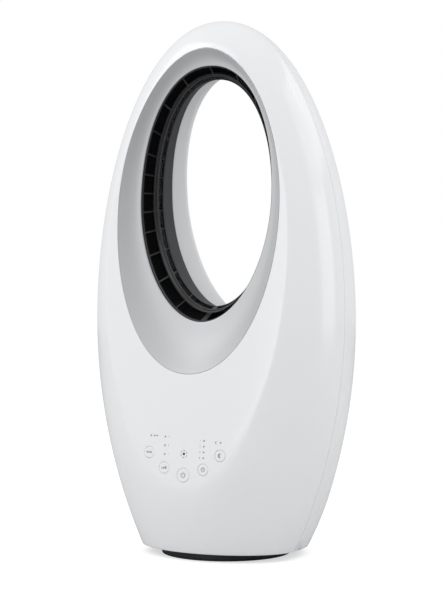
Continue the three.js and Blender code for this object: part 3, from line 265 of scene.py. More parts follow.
def finish(name, colour, roughness, grain, depth, tone, spread, metallic=0.0, ior=1.5,
           stretch=(1, 1, 1), mottle=60.0):
    """A surface with its own grain: size and depth of the grain in mm, how far the tone
    and the roughness wander, and the size in mm of the patches in which the tone does."""
    material = bpy.data.materials.new(name)
    material.use_nodes = True
    tree = material.node_tree
    shader = tree.nodes["Principled BSDF"]
    place = add_node(tree, "ShaderNodeTexCoord").outputs["Object"]
    run = add_node(tree, "ShaderNodeMapping", {0: place, 3: stretch}).outputs[0]
    fine = add_node(tree, "ShaderNodeTexNoise",
                    {"Vector": run, "Scale": 1 / (grain * MM), "Detail": 2.0})
    broad = add_node(tree, "ShaderNodeTexNoise",
                     {"Vector": place, "Scale": 1 / (mottle * MM), "Detail": 2.0})
    pale = tuple(min(1, c * (1 + tone)) for c in colour) + (1,)
    deep = tuple(c * (1 - tone) for c in colour) + (1,)
    shade = add_node(tree, "ShaderNodeMix", {0: broad.outputs["Fac"], 6: deep, 7: pale},
                     data_type="RGBA")
    rough = add_node(tree, "ShaderNodeMapRange",
                     {0: fine.outputs["Fac"], 3: roughness - spread, 4: roughness + spread})
    bump = add_node(tree, "ShaderNodeBump",
                    {"Height": fine.outputs["Fac"], "Distance": depth * MM, "Strength": 1.0})
    tree.links.new(shade.outputs[2], shader.inputs["Base Color"])
    tree.links.new(rough.outputs[0], shader.inputs["Roughness"])
    tree.links.new(bump.outputs[0], shader.inputs["Normal"])
    shader.inputs["Metallic"].default_value = metallic
    if not metallic:
        shader.inputs["IOR"].default_value = ior
    return material


FINISHES = {}


def make_finishes(colours):
    """Every finish of the fan, by the name of its slot in the record."""
    tint = {name: tuple(getattr(colours, name)) for name in COLOURS}
    FINISHES.update({
        # Injection moulded ABS from a polished tool: a clear soft mirror over a white body,
        # with the faint orange peel that the flow of the plastic leaves.
        "gloss_white": finish("abs_polished_white", tint["body"], 0.17, 9, 0.004,
                              tone=0.006, spread=0.03, ior=1.53),
        # Silver paint on ABS: metal flakes under a satin lacquer give a soft broad sheen.
        "satin_silver": finish("abs_silver_lacquer", tint["bezel"], 0.43, 0.9, 0.006,
                               tone=0.012, spread=0.06, metallic=0.12),
        "pale_silver": finish("abs_pale_lacquer", tint["collar"], 0.45, 0.9, 0.006,
                              tone=0.012, spread=0.05),
        # Black ABS with a spark-eroded grain of 0.5 mm, which breaks up its highlights.
        "black_plastic": finish("abs_grained_black", tint["trim"], 0.38, 0.5, 0.012,
                                tone=0.08, spread=0.07, ior=1.53),
        # The nozzle's black, darker than its black plastic as painted shade deep behind the
        # slots, and matt: almost no light comes back out.
        "nozzle": finish("abs_matt_black", linear("#050506"), 0.85, 0.8, 0.02,
                         tone=0.08, spread=0.05, ior=1.25),
        # The foot's blue-black, rubbed matt where it stands on a table.
        "foot": finish("abs_foot_black", linear("#0b0c11"), 0.5, 0.6, 0.012,
                       tone=0.08, spread=0.07, ior=1.46),
        # Dark grey ABS, the same grain on a paler body.
        "dark_grey": finish("abs_grained_grey", tint["duct"], 0.62, 0.5, 0.012,
                            tone=0.05, spread=0.07, ior=1.5),
        # Moulded nitrile rubber: dull and slightly pitted, it has no clear highlight.
        "soft_rubber": finish("nitrile_rubber_moulded", linear("#232324"), 0.82, 0.7, 0.03,
                              tone=0.1, spread=0.08, ior=1.52),
        # Zinc-plated steel, with the drawn lines that rolling left.
        "steel": finish("steel_zinc_plated", linear("#a3a8ad"), 0.32, 0.4, 0.004,
                        tone=0.05, spread=0.08, metallic=1.0, stretch=(0.06, 1, 1)),
        # Machined acetal: milky and waxy, with fine tool marks.
        "acetal": finish("acetal_machined", linear("#e6e2d6"), 0.4, 0.35, 0.004,
                         tone=0.02, spread=0.05, ior=1.48, stretch=(1, 1, 0.1)),
        # Glass-epoxy board under green solder mask, which shows the glass weave faintly.
        "circuit_board": finish("epoxy_green_mask", linear("#1f5a35"), 0.3, 0.8, 0.01,
                                tone=0.12, spread=0.06, ior=1.55, mottle=3),
        # Clear polycarbonate, frosted where the lamp's light leaves it.
        "clear_plastic": finish("polycarbonate_frosted", linear("#9fa3a8"), 0.3, 0.4, 0.006,
                                tone=0.05, spread=0.08, ior=1.58),
        # Pad printed ink, matt and a touch raised.
        "ink": finish("pad_print_grey", linear("#8b8c90"), 0.6, 0.4, 0.004,
                      tone=0.06, spread=0.05, ior=1.5, mottle=4),
        # Infrared filter: smoked acrylic, black and glossy.
        "filter": finish("acrylic_smoked", linear("#1a1a1d"), 0.12, 3, 0.003,
                         tone=0.05, spread=0.03, ior=1.49),
    })


# ---------------------------------------------------------------- mesh helpers
def deselect():
    bpy.ops.object.select_all(action="DESELECT")


def only(piece):
    """Makes one object the only selected and active one."""
    deselect()
    piece.select_set(True)
    bpy.context.view_layer.objects.active = piece


def begin_edit(piece):
    """Opens a piece in edit mode, selected all over."""
    only(piece)
    bpy.ops.object.mode_set(mode="EDIT")
    bpy.ops.mesh.select_all(action="SELECT")


def end_edit():
    bpy.ops.object.mode_set(mode="OBJECT")


def mesh_object(name, coords, faces):
    """A new object from points in metres and faces."""
    mesh = bpy.data.meshes.new(name)
    mesh.from_pydata(coords, [], faces)
    piece = bpy.data.objects.new(name, mesh)
    bpy.context.scene.collection.objects.link(piece)
    return piece


def mesh_piece(name, coords, faces):
    """A new object from points in mm and faces, with its doubles merged and its faces
    turned the same way."""
    place = (np.asarray(coords, float).reshape(-1, 3) * MM) + (0, TURN_Y, 0)
    piece = mesh_object(name, place.tolist(), faces)
    begin_edit(piece)
    bpy.ops.mesh.remove_doubles(threshold=MERGE)
    bpy.ops.mesh.normals_make_consistent(inside=False)
    end_edit()
    return piece


def turn_sheet(piece, wrong_way):
    """Turns an open sheet over if its faces look the wrong way on the whole."""
    begin_edit(piece)
    faces = bmesh.from_edit_mesh(piece.data).faces
    if sum(wrong_way(face) for face in faces) > 0:
        bpy.ops.mesh.flip_normals()
    end_edit()


def loop_skin(rings):
    """Points and faces of rings of points, each ring to the next and the last to the first."""
    rings = np.asarray(rings)
    rows, count = rings.shape[:2]
    faces = []
    for row in range(rows):
        after = (row + 1) % rows
        for i in range(count):
            j = (i + 1) % count
            faces.append((row * count + i, row * count + j, after * count + j,
                          after * count + i))
    return rings.reshape(-1, 3), faces


def pick(kind, test):
    """In edit mode, selects the faces or edges whose place or normal passes a test."""
    bpy.ops.mesh.select_all(action="DESELECT")
    bpy.ops.mesh.select_mode(type={"faces": "FACE", "edges": "EDGE"}[kind])
    mesh = bmesh.from_edit_mesh(bpy.context.object.data)
    for item in getattr(mesh, kind):
        item.select_set(bool(test(item)))
    mesh.select_flush_mode()
    bmesh.update_edit_mesh(bpy.context.object.data)


def inset(width, depth=0.0):
    bpy.ops.mesh.inset(thickness=width * MM, depth=depth * MM)


def push(distance):
    """Extrudes what is selected along Z."""
    bpy.ops.mesh.extrude_region_move(TRANSFORM_OT_translate={"value": (0, 0, distance * MM)})


def bevel(width, segments):
    bpy.ops.mesh.bevel(offset=width * MM, segments=segments, affect="EDGES")


def bridge_openings():
    """Joins the edges round two openings with a wall."""
    pick("edges", lambda edge: edge.is_boundary)
    bpy.ops.mesh.bridge_edge_loops()


def apply_modifier(piece, kind, **settings):
    only(piece)
    modifier = piece.modifiers.new(kind.title(), kind)
    for name, value in settings.items():
        setattr(modifier, name, value)
    bpy.ops.object.modifier_apply(modifier=modifier.name)


def ease_edges(piece, width, segments, angle):
    """Bevels the edges of a piece that turn by more than an angle in degrees."""
    apply_modifier(piece, "BEVEL", width=width * MM, segments=segments, limit_method="ANGLE",
                   angle_limit=math.radians(angle))


def apply_place(piece):
    only(piece)
    bpy.ops.object.transform_apply(location=True, rotation=True, scale=True)


def cut_with(piece, cutters):
    """Cuts each closed cutter out of a piece and deletes the cutter."""
    for cutter in cutters:
        apply_place(cutter)
        apply_modifier(piece, "BOOLEAN", operation="DIFFERENCE", solver="EXACT",
                       object=cutter)
        bpy.data.objects.remove(cutter)


def joined(name, pieces):
    deselect()
    for piece in pieces:
        piece.select_set(True)
    bpy.context.view_layer.objects.active = pieces[0]
    bpy.ops.object.join()
    pieces[0].name = name
    pieces[0].data.name = name
    return pieces[0]


def settle(piece, body, slot, *nodes, look=None):
    """Gives a piece its finish and says which body it rides on and what it stands for."""
    apply_place(piece)
    piece.data.materials.clear()
    piece.data.materials.append(FINISHES[look or slot])
    bpy.ops.object.shade_smooth_by_angle(angle=math.radians(SMOOTH_ANGLE))
    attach(piece, body)
    if nodes:
        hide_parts(*nodes)


def cylinder(radius, length, sides, middle=(0, 0, 0)):
    """An upright cylinder: its size in mm, its middle in metres."""
    deselect()
    bpy.ops.mesh.primitive_cylinder_add(vertices=sides, radius=radius * MM,
                                        depth=length * MM, location=middle)
    return bpy.context.object


def rod(radius, low, high, sides, at=(0, 0)):
    """An upright cylinder between two heights."""
    return cylinder(radius, high - low, sides,
                    (at[0] * MM, at[1] * MM + TURN_Y, (low + high) / 2 * MM))


def depth_rod(radius, front, rear, x, z, sides):
    """A cylinder that lies from front to rear between two depths."""
    piece = cylinder(radius, rear - front, sides)
    middle = Vector((x * MM, (front + rear) / 2 * MM + TURN_Y, z * MM))
    piece.matrix_world = Matrix.Translation(middle) @ Matrix.Rotation(math.pi / 2, 4, "X")
    return piece


def panel_place(x, up, out=0.0):
    """Where a point of the control panel lies: its local Z leaves the face."""
    lean = math.atan(FACE_LEAN)
    turn = Matrix.Rotation(math.pi / 2 - lean, 4, "X")
    origin = Vector((0, float(face_y(0, PANEL_Z)), PANEL_Z))
    place = origin + turn @ Vector((x, up, out - x * x / (2 * FACE_CROWN)))
    return Matrix.Translation(place * MM + Vector((0, TURN_Y, 0))) @ turn


def panel_rod(radius, from_out, to_out, x, up, sides):
    """A cylinder that stands square on the panel, between two heights over it."""
    piece = cylinder(radius, to_out - from_out, sides)
    piece.matrix_world = panel_place(x, up, (from_out + to_out) / 2)
    return piece


# ---------------------------------------------------------------- body shells
FACE_ROWS, CREASE_ROWS, DOME_ROWS, INNER_ROWS = 9, 7, 34, 14
EDGE_MIDDLE = 0.29         # how far in the middle of a rounded edge lies, as a share of it
FIRST_ROW = 0.6            # from a rounded edge to the next row of points


def crease_share(turns):
    """Share of the way from the opening to the outline where the face meets the dome."""
    start_x, start_z = oval(OPENING, turns)
    end_x, end_z = outline_end(turns, 0)
    near, far = np.zeros_like(turns), np.ones_like(turns)
    for _ in range(HALVINGS):
        middle = (near + far) / 2
        x = start_x + (end_x - start_x) * middle
        z = start_z + (end_z - start_z) * middle
        dome = SEAM_Y - GAP / 2 - depth_at(x, z, FRONT, FRONT_ROUND, 0)
        flat = dome < face_y(x, z)
        near, far = np.where(flat, middle, near), np.where(flat, far, middle)
    return np.clip(near, 0.02, 0.97)


def shell_rings(form, height, outward, creased, edge):
    """Rings of one shell: out over its face and dome to the seam, and back inside."""
    seam = SEAM_Y + outward * GAP / 2
    start_x, start_z = oval(form, TURNS)
    end_x, end_z = outline_end(TURNS, 0)
    length = np.hypot(end_x - start_x, end_z - start_z)

    def surface(share, inset=0.0, turns=TURNS):
        x0, z0 = oval(form, turns)
        x1, z1 = outline_end(turns, inset)
        x, z = x0 + (x1 - x0) * share, z0 + (z1 - z0) * share
        return points(x, height(x, z, inset), z)

    def seam_ring(inset, lift):
        turns = loop_turns(inset)
        x, z = outline_end(turns, inset, lift)
        y = height(x, z, inset) * outward
        return points(x, np.maximum(y, seam * outward + lift) * outward, z)

    def mouth_ring(grow, sink):
        x, z = oval(form, TURNS, grow)
        return points(x, height(x, z) - outward * sink, z)

    eased = EDGE_MIDDLE * edge
    rings = [mouth_ring(0, WALL), mouth_ring(0, edge), mouth_ring(eased, eased),
             mouth_ring(edge, 0)]
    first = (edge + FIRST_ROW) / length
    if creased:
        crease = crease_share(TURNS)
        # The crease's own rows reach past its rounding, but never halfway to the opening.
        spread = np.minimum(1.6 * crease_depth(start_z) / length, 0.45 * crease)
        for i in range(FACE_ROWS):
            rings.append(surface(first + (crease - spread - first) * i / FACE_ROWS))
        for i in range(CREASE_ROWS):
            rings.append(surface(crease + spread * (2 * i / (CREASE_ROWS - 1) - 1)))
        first = crease + spread
    # Rows close up towards the seam, where the dome turns away, but not along the bottom.
    column = np.arange(len(TURNS))
    from_foot = np.minimum(column, len(TURNS) - column)
    ease = np.clip(from_foot / BOTTOM_COLUMNS, 0, 1) ** 2
    for i in range(1 if creased else 0, DOME_ROWS):
        part = i / DOME_ROWS
        share = part + (math.sin(math.pi / 2 * part) - part) * ease
        rings.append(surface(first + (1 - first) * share))
    rings += [seam_ring(0, edge), seam_ring(eased, eased), seam_ring(edge, 0),
              seam_ring(WALL, 0)]
    inner_turns = loop_turns(WALL)
    for i in range(INNER_ROWS - 1, 0, -1):
        part = i / INNER_ROWS
        share = part + (math.sin(math.pi / 2 * part) - part) * ease
        rings.append(surface(share, WALL, inner_turns))
    return rings


def prism_faces(count):
    """Faces of a prism whose points are one outline and then the other."""
    sides = [(i, (i + 1) % count, count + (i + 1) % count, count + i) for i in range(count)]
    return [tuple(range(count)), tuple(range(2 * count - 1, count - 1, -1))] + sides


def screw_bosses(front, rear):
    """Posts of the shell screws, each between two depths: a number, or a surface that the
    post grows from."""
    turns = 2 * np.pi * np.arange(BOSS_SIDES) / BOSS_SIDES
    posts = []
    for x, z in SCREWS:
        for side in (-1, 1):
            ring_x = side * x + BOSS_RADIUS * np.cos(turns)
            ring_z = z + BOSS_RADIUS * np.sin(turns)
            ends = [end(ring_x, ring_z, WALL / 2) if callable(end) else end
                    for end in (front, rear)]
            coords = np.concatenate([points(ring_x, end, ring_z) for end in ends])
            posts.append(mesh_piece("screw_boss", coords, prism_faces(BOSS_SIDES)))
    return joined("screw_bosses", posts)


def add_to(piece, part):
    apply_modifier(piece, "BOOLEAN", operation="UNION", solver="EXACT", object=part)
    bpy.data.objects.remove(part)


def screw_cutters(front, rear, radius):
    return [depth_rod(radius, front, rear, side * x, z, 32)
            for x, z in SCREWS for side in (-1, 1)]


class FAN_OT_front_shell(bpy.types.Operator):
    """Builds the front half of the body with the holes for its keys and lamps"""
    bl_idname = "fan.front_shell"
    bl_label = "Front Shell"

    def execute(self, context):
        edge = context.scene.fan_sizes.shell_edge / MM
        coords, faces = loop_skin(shell_rings(OPENING, front_y, -1, True, edge))
        shell = mesh_piece("front_shell_skin", coords, faces)
        add_to(shell, screw_bosses(front_y, BOSS_MEET - GAP))
        cutters = [panel_rod(radius, *CUT, x, up, 64) for x, up, radius in KEYS.values()]
        cutters += [panel_rod(LAMP_HOLE, *CUT, x, up, 20) for x, up in LAMPS]
        cutters.append(panel_rod(RECEIVER_RADIUS + GAP / 2, *CUT, *RECEIVER, 32))
        cut_with(shell, cutters)
        settle(shell, "fan_body", "gloss_white", "front_shell")
        return {"FINISHED"}


def intake_cutter(front, rear, steps=12):
    """A block with the intake's rounded outline, from one depth to another."""
    corner, side = INTAKE["corner"], INTAKE["half"] - INTAKE["corner"]
    bottom, top = INTAKE["low"] + corner, INTAKE["high"] - corner
    outline = []
    for x, z, start in ((side, bottom, -90), (side, top, 0), (-side, top, 90),
                        (-side, bottom, 180)):
        for i in range(steps + 1):
            turn = math.radians(start + 90 * i / steps)
            outline.append((x + corner * math.cos(turn), z + corner * math.sin(turn)))
    coords = [(x, y, z) for y in (front, rear) for x, z in outline]
    return mesh_piece("intake_cutter", coords, prism_faces(len(outline)))


class FAN_OT_rear_shell(bpy.types.Operator):
    """Builds the rear half of the body with its intake, socket hole and screw holes"""
    bl_idname = "fan.rear_shell"
    bl_label = "Rear Shell"

    def execute(self, context):
        edge = context.scene.fan_sizes.shell_edge / MM
        coords, faces = loop_skin(shell_rings(BACK, rear_y, 1, False, edge))
        shell = mesh_piece("rear_shell_skin", coords, faces)
        add_to(shell, screw_bosses(BOSS_MEET, rear_y))
        cutters = [intake_cutter(*INTAKE_CUT),
                   depth_rod(SOCKET_RADIUS + GAP, *SOCKET_CUT, 0, SOCKET_Z, 40)]
        cut_with(shell, cutters + screw_cutters(*SCREW_CUT, HEAD_HOLE))
        settle(shell, "fan_body", "gloss_white", "rear_shell")
        return {"FINISHED"}


# ---------------------------------------------------------------- tunnel
def between(start, end, share):
    return tuple(a + (b - a) * share for a, b in zip(start, end))


def tunnel_form(into):
    """The tunnel's oval at a share of the way in: 0 the lip, 1 the neck, 2 the tail."""
    start, end, share = (LIP, NECK, into) if into < 1 else (NECK, TAIL, into - 1)
    return LIP | {key: start[key] + (end[key] - start[key]) * share for key in NECK}


def tunnel_y(into, depth, z):
    """Where a ring of the tunnel lies at a height, with its lean."""
    return LIP_Y + depth + tunnel_form(into)["lean"] * (z - LIP["z"])


def tunnel_ring(into, depth, out=0.0, back=0.0):
    """A ring of the tunnel's wall, moved out from it or back along it."""
    x, z = oval(tunnel_form(into), TURNS, out)
    return points(x, tunnel_y(into, depth + back, z), z)


def bezel_ring(share, out, back):
    """A ring of the bezel at a share of the way from the opening to the lip."""
    outer_x, outer_z = oval(OPENING, TURNS, out - GAP)
    inner_x, inner_z = oval(LIP, TURNS, out)
    inner_y = tunnel_y(0, 0, inner_z)
    y = face_y(outer_x, outer_z) * (1 - share) + inner_y * share
    x, z = outer_x + (inner_x - outer_x) * share, outer_z + (inner_z - outer_z) * share
    return points(x, y + back + DISH * math.sin(math.pi * share), z)


# Cross-section of the bezel: share of the way in, and how far out and back. Both edges are
# eased, and the last five lie on its rear.
BEZEL_ROWS = 22
BEZEL_SECTION = [
    (0, 0, BEZEL_RIM), (0, 0, 0.7), (0, -0.2, 0.25), (0.012, 0, 0.1),
    *((i / BEZEL_ROWS, 0, 0) for i in range(1, BEZEL_ROWS)),
    (0.985, 0, 0.05), (1, 0, 0.35),
    *((share, 0, TRIM_WALL) for share in (1, 0.85, 0.6, 0.3)), (0, -TRIM_WALL, BEZEL_RIM),
]


class FAN_OT_front_bezel(bpy.types.Operator):
    """Builds the silver dished ring between the face and the outlet"""
    bl_idname = "fan.front_bezel"
    bl_label = "Front Bezel"

    def execute(self, context):
        rings = [bezel_ring(*place) for place in BEZEL_SECTION]
        piece = mesh_piece("bezel_ring", *loop_skin(rings))
        settle(piece, "fan_body", "satin_silver", "front_bezel")
        return {"FINISHED"}


def tunnel_point(angle, into, depth):
    """Point of the tunnel's wall at a true angle about the middle of the ribs."""
    form = tunnel_form(into)
    near, far = 0.0, 2.0 * LIP["up"]
    c, s = math.cos(angle), math.sin(angle)
    for _ in range(HALVINGS):
        radius = (near + far) / 2
        rise = RIB_MIDDLE_Z + radius * s - form["z"]
        height, power = (form[key] for key in
                         (("up", "upper") if rise > 0 else ("down", "lower")))
        inside = abs(radius * c / form["w"]) ** power + abs(rise / height) ** power < 1
        near, far = (radius, far) if inside else (near, radius)
    z = RIB_MIDDLE_Z + near * s
    return near * c, tunnel_y(into, depth, z), z


# Cross-section of the black ring: share of the way in, depth, and rise towards the axis. Its
# rim stands in from the bezel, and two fine ridges run between the rows of slots.
OUTLET_BANDS = [
    (0, 0.9, -0.4), (0, 1.2, 0.8), (0.03, 2.5, 0.7), (0.1, 3.8, 0),
    (*OUTER_SLOTS_END, 0), (0.59, 16.5, 0.5), (0.61, 17.1, 0.5), (0.63, 17.6, -0.4),
    (0.73, 20.4, -0.4), (0.75, 20.9, 0.4), (0.77, 21.5, 0.4), (*INNER_SLOTS_START, -0.2),
    (0.97, 27, 0), (0.99, 27.6, 0),
]
OPEN_BANDS = (3, 11)       # the two rows of slots: bands where only the ribs are solid
SLOT_COLUMNS = 7           # faces from one rib to the next
RIB_PLACE = (0.3, 10)      # way in and depth where the ribs' width is measured


class FAN_OT_outlet_ring(bpy.types.Operator):
    """Builds the black ring with two rows of air slots between thin ribs"""
    bl_idname = "fan.outlet_ring"
    bl_label = "Outlet Ring"

    def execute(self, context):
        angles = []
        for i in range(RIBS):
            middle = 2 * math.pi * i / RIBS - math.pi / 2
            x, _, z = tunnel_point(middle, *RIB_PLACE)
            reach = math.hypot(x, z - RIB_MIDDLE_Z)
            half = (RIB_WIDTH if i else JOINT_RIB) / 2 / reach
            after = RIB_WIDTH / 2 / reach
            step = 2 * math.pi / RIBS - half - after
            angles.append((middle - half, True))
            angles += [(middle + half + step * k / SLOT_COLUMNS, False)
                       for k in range(SLOT_COLUMNS)]
        rows = []
        for into, depth, rise in OUTLET_BANDS:
            row = np.array([tunnel_point(angle, into, depth) for angle, _ in angles])
            inward = (0, 0, RIB_MIDDLE_Z) - row
            inward[:, 1] = 0
            inward /= np.linalg.norm(inward, axis=1)[:, None]
            rows.append(row + inward * rise)
        coords, count = np.concatenate(rows), len(angles)
        faces = []
        for row in range(len(OUTLET_BANDS) - 1):
            for i, (_, rib) in enumerate(angles):
                if row in OPEN_BANDS and not rib:
                    continue
                j = (i + 1) % count
                faces.append((row * count + i, row * count + j, (row + 1) * count + j,
                              (row + 1) * count + i))
        piece = mesh_piece("outlet_ring", coords, faces)
        # The sheet's front looks at the axis, so its wall grows away from the tunnel.
        middle = Vector((0, TURN_Y, RIB_MIDDLE_Z * MM))
        turn_sheet(piece, lambda face: (face.calc_center_median() - middle).dot(face.normal))
        apply_modifier(piece, "SOLIDIFY", thickness=GRILLE_WALL * MM, offset=-1.0,
                       use_even_offset=False)
        ease_edges(piece, 0.18, 1, 60)
        settle(piece, "fan_body", "black_plastic", "outlet_grille")
        return {"FINISHED"}


EASE_OUT, EASE_BACK = 0.3, 0.4         # the eased front edge of the duct and the collar
FLARE_END = (0.5, 0.2, COLLAR_RIM)     # the collar's last rings, forward of its rear edge
DUCT_ROWS, FLARE_ROWS = 6, 24
FLARE_EASE = 0.35          # share of the flare that opens evenly, while the rest rounds off


class FAN_OT_tunnel_walls(bpy.types.Operator):
    """Builds the dark duct behind the slots and the pale collar that flares to the rear"""
    bl_idname = "fan.tunnel_walls"
    bl_label = "Tunnel Walls"

    def execute(self, context):
        def duct(share, out=0.0, back=0.0):
            return tunnel_ring(*between(DUCT_START, COLLAR_START, share), out, back)

        rings = [duct(0, EASE_OUT), duct(0, 0, EASE_BACK)]
        rings += [duct(i / DUCT_ROWS) for i in range(1, DUCT_ROWS)]
        rings += [duct(1, 0, -GAP - EASE_BACK), duct(1, EASE_OUT, -GAP),
                  duct(1, TRIM_WALL, -GAP), duct(0, TRIM_WALL)]
        piece = mesh_piece("duct_wall", *loop_skin(rings))
        settle(piece, "fan_body", "dark_grey", "inner_duct")

        rear_x, rear_z = oval(BACK, TURNS, -GAP)
        tail = tunnel_form(FLARE_START[0])
        tail_x, tail_z = oval(tail, TURNS)
        tail_y = tunnel_y(*FLARE_START, tail_z)
        rear = rear_y(rear_x, rear_z)
        away = points(rear_x, 0, rear_z - tail["z"])
        away /= np.linalg.norm(away, axis=1)[:, None]

        def flare(share, out=0.0, forward=0.0):
            ease = FLARE_EASE * share + (1 - FLARE_EASE) * math.sin(math.pi / 2 * share)
            ring = points(tail_x + (rear_x - tail_x) * share,
                          tail_y + (rear - tail_y) * ease - forward,
                          tail_z + (rear_z - tail_z) * share)
            return ring + away * out

        rings = [tunnel_ring(*COLLAR_START, EASE_OUT),
                 tunnel_ring(*COLLAR_START, 0, EASE_BACK)]
        rings += [tunnel_ring(*between(COLLAR_START, FLARE_START, i / DUCT_ROWS))
                  for i in range(1, DUCT_ROWS + 1)]
        rings += [flare(i / FLARE_ROWS) for i in range(1, FLARE_ROWS)]
        rings += [flare(1, 0, forward) for forward in FLARE_END]
        rings += [flare(share, TRIM_WALL) for share in (0.8, 0.6, 0.4, 0.2)]
        rings += [tunnel_ring(*FLARE_START, TRIM_WALL), tunnel_ring(*COLLAR_START, TRIM_WALL)]
        piece = mesh_piece("collar_flare", *loop_skin(rings))
        settle(piece, "fan_body", "pale_silver", "rear_collar")
        return {"FINISHED"}


# ---------------------------------------------------------------- control panel
# A key: depth and wall of its flange, which is wider than its hole by FLANGE_OVER, its stem's
# radius and length, and the rounding and slight dip of its front.
FLANGE_DEPTH, FLANGE_WALL, FLANGE_OVER = 4.6, 1.2, 1
STEM_RADIUS, STEM_LENGTH = 2, 2.4
KEY_EASE, DIP_RING, DIP = 0.35, 0.22, 0.03


def key_body(radius):
    """A round key with its front at 0: a slight dip, eased rim, hidden flange and stem."""
    key = cylinder(radius - GAP, FLANGE_DEPTH, 64, (0, 0, -FLANGE_DEPTH / 2 * MM))
    apply_place(key)
    begin_edit(key)
    pick("edges", lambda edge: all(v.co.z > -1e-5 for v in edge.verts))
    bevel(KEY_EASE, 3)
    pick("faces", lambda face: face.normal.z > 0.99 and face.calc_area() > 1e-5)
    for step in range(3):
        inset(radius * DIP_RING, -DIP * (step + 1))
    pick("faces", lambda face: face.normal.z < -0.99)
    flange = radius + FLANGE_OVER
    for scale, shift in ((flange / (radius - GAP), 0), (1, -FLANGE_WALL),
                         (STEM_RADIUS / flange, 0), (1, -STEM_LENGTH)):
        push(shift)
        bpy.ops.transform.resize(value=(scale, scale, 1))
    end_edit()
    return key


class FAN_OT_keys(bpy.types.Operator):
    """Builds the five round keys, each on its own travelling body"""
    bl_idname = "fan.keys"
    bl_label = "Keys"

    def execute(self, context):
        for name, (x, up, radius) in KEYS.items():
            key = key_body(radius)
            key.name = name + "_cap"
            key.matrix_world = panel_place(x, up)
            settle(key, name + "_body", "gloss_white", name)
        return {"FINISHED"}


def flat_sign(name, outlines, height=0.06):
    """A flat printed sign in the panel's plane, from closed outlines in mm."""
    coords, faces = [], []
    for outline in outlines:
        first, count = len(coords), len(outline)
        coords += [(x, y, z) for z in (0, height) for x, y in outline]
        faces.append(tuple(range(first + count - 1, first - 1, -1)))
        faces.append(tuple(range(first + count, first + 2 * count)))
        faces += [(first + i, first + (i + 1) % count, first + count + (i + 1) % count,
                   first + count + i) for i in range(count)]
    return mesh_object(name, [(x * MM, y * MM, z * MM) for x, y, z in coords], faces)


def bar(x0, y0, x1, y1):
    return [(x0, y0), (x1, y0), (x1, y1), (x0, y1)]


def round_points(radius, start, end, steps, ends=True, x=0.0):
    """Points of a round stretch from one angle in degrees to another, with or without its
    two ends, about a middle at x."""
    turns = [math.radians(start + (end - start) * i / steps) for i in range(steps + 1)]
    return [(x + radius * math.cos(t), radius * math.sin(t))
            for t in (turns if ends else turns[1:-1])]


def arc(radius, width, start, end, steps=24):
    """A curved stroke from one angle in degrees to another."""
    return (round_points(radius + width / 2, start, end, steps)
            + round_points(radius - width / 2, end, start, steps))


def crescent(size, steps=14):
    """A moon: a round stretch, and back along a smaller one set to the right."""
    return (round_points(size, 60, 300, steps)
            + round_points(size * 0.8, 285, 75, steps, ends=False, x=size * 0.42))


def double_arrow(size):
    """An arrow with a head at both ends."""
    tip, head, thin = size, size * 0.45, size * 0.11
    return [(-tip, 0), (-tip + head, -head * 0.8), (-tip + head, -thin), (tip - head, -thin),
            (tip - head, -head * 0.8), (tip, 0), (tip - head, head * 0.8), (tip - head, thin),
            (-tip + head, thin), (-tip + head, head * 0.8)]


SIGNS = {
    "key_swing": [double_arrow(3.6)],
    "key_speed": [bar(-3.2, -1.2, -1.8, 0), bar(-0.8, -1.2, 0.6, 0.7), bar(1.6, -1.2, 3, 1.4)],
    "key_power": [arc(2.5, 0.55, 125, 415), bar(-0.28, 0.6, 0.28, 3.3)],
    "key_timer": [arc(2.2, 0.45, 0, 350), bar(-0.2, -0.2, 0.2, 1.5), bar(-0.2, -0.2, 1.2, 0.2)],
    "key_sleep": [crescent(2.4)],
}


# Marks printed on the panel: outlines, and place from its middle.
MARKS = {
    "lamp_arrow": ([double_arrow(3.2)], SIDE_LAMPS[0][0] + 6.2, SIDE_LAMPS[0][1]),
    "lamp_moon": ([crescent(1.5)], SIDE_LAMPS[1][0] - 5.2, SIDE_LAMPS[1][1]),
    "receiver_dashes": ([arc(3.8, 0.7, turn + 10, turn + 42, 5) for turn in range(0, 360, 60)],
                        *RECEIVER),
}
NUMBER_SIZE, NUMBER_ASIDE = 2.5, 4.6   # font size, and distance from the number to its lamp
INK, MARK_INK = 0.03, 0.05             # half a number's thickness, and a mark's thickness
SIGN_LIFT, MARK_LIFT = 0.16, 0.01      # over the key's rim, and over the panel


def number_sign(text, x, up):
    """A plain number beside a lamp, as a thin flat mesh."""
    deselect()
    bpy.ops.object.text_add()
    sign = bpy.context.object
    sign.data.body = text
    sign.data.size = NUMBER_SIZE * MM
    sign.data.extrude = INK * MM
    sign.data.offset = 0.02 * MM
    sign.data.align_x = "CENTER"
    sign.data.align_y = "CENTER"
    sign.data.resolution_u = 3
    bpy.ops.object.convert(target="MESH")
    sign = bpy.context.object
    sign.matrix_world = panel_place(x, up, INK)
    apply_place(sign)
    return sign


class FAN_OT_panel_signs(bpy.types.Operator):
    """Prints plain signs on the keys and numbers beside the lamps"""
    bl_idname = "fan.panel_signs"
    bl_label = "Panel Signs"

    def execute(self, context):
        for name, (x, up, _) in KEYS.items():
            sign = flat_sign(name + "_sign", SIGNS[name])
            sign.matrix_world = panel_place(x, up, SIGN_LIFT)
            settle(sign, name + "_body", "gloss_white", look="ink")
        signs = [number_sign(text, x + NUMBER_ASIDE, up)
                 for text, (x, up) in zip("321", reversed(SPEED_LAMPS))]
        signs += [number_sign(text, x - NUMBER_ASIDE, up)
                  for text, (x, up) in zip("1248", reversed(TIMER_LAMPS))]
        for name, (outlines, x, up) in MARKS.items():
            mark = flat_sign(name, outlines, MARK_INK)
            mark.matrix_world = panel_place(x, up, MARK_LIFT)
            apply_place(mark)
            signs.append(mark)
        settle(joined("panel_numbers", signs), "fan_body", "gloss_white", look="ink")
        return {"FINISHED"}


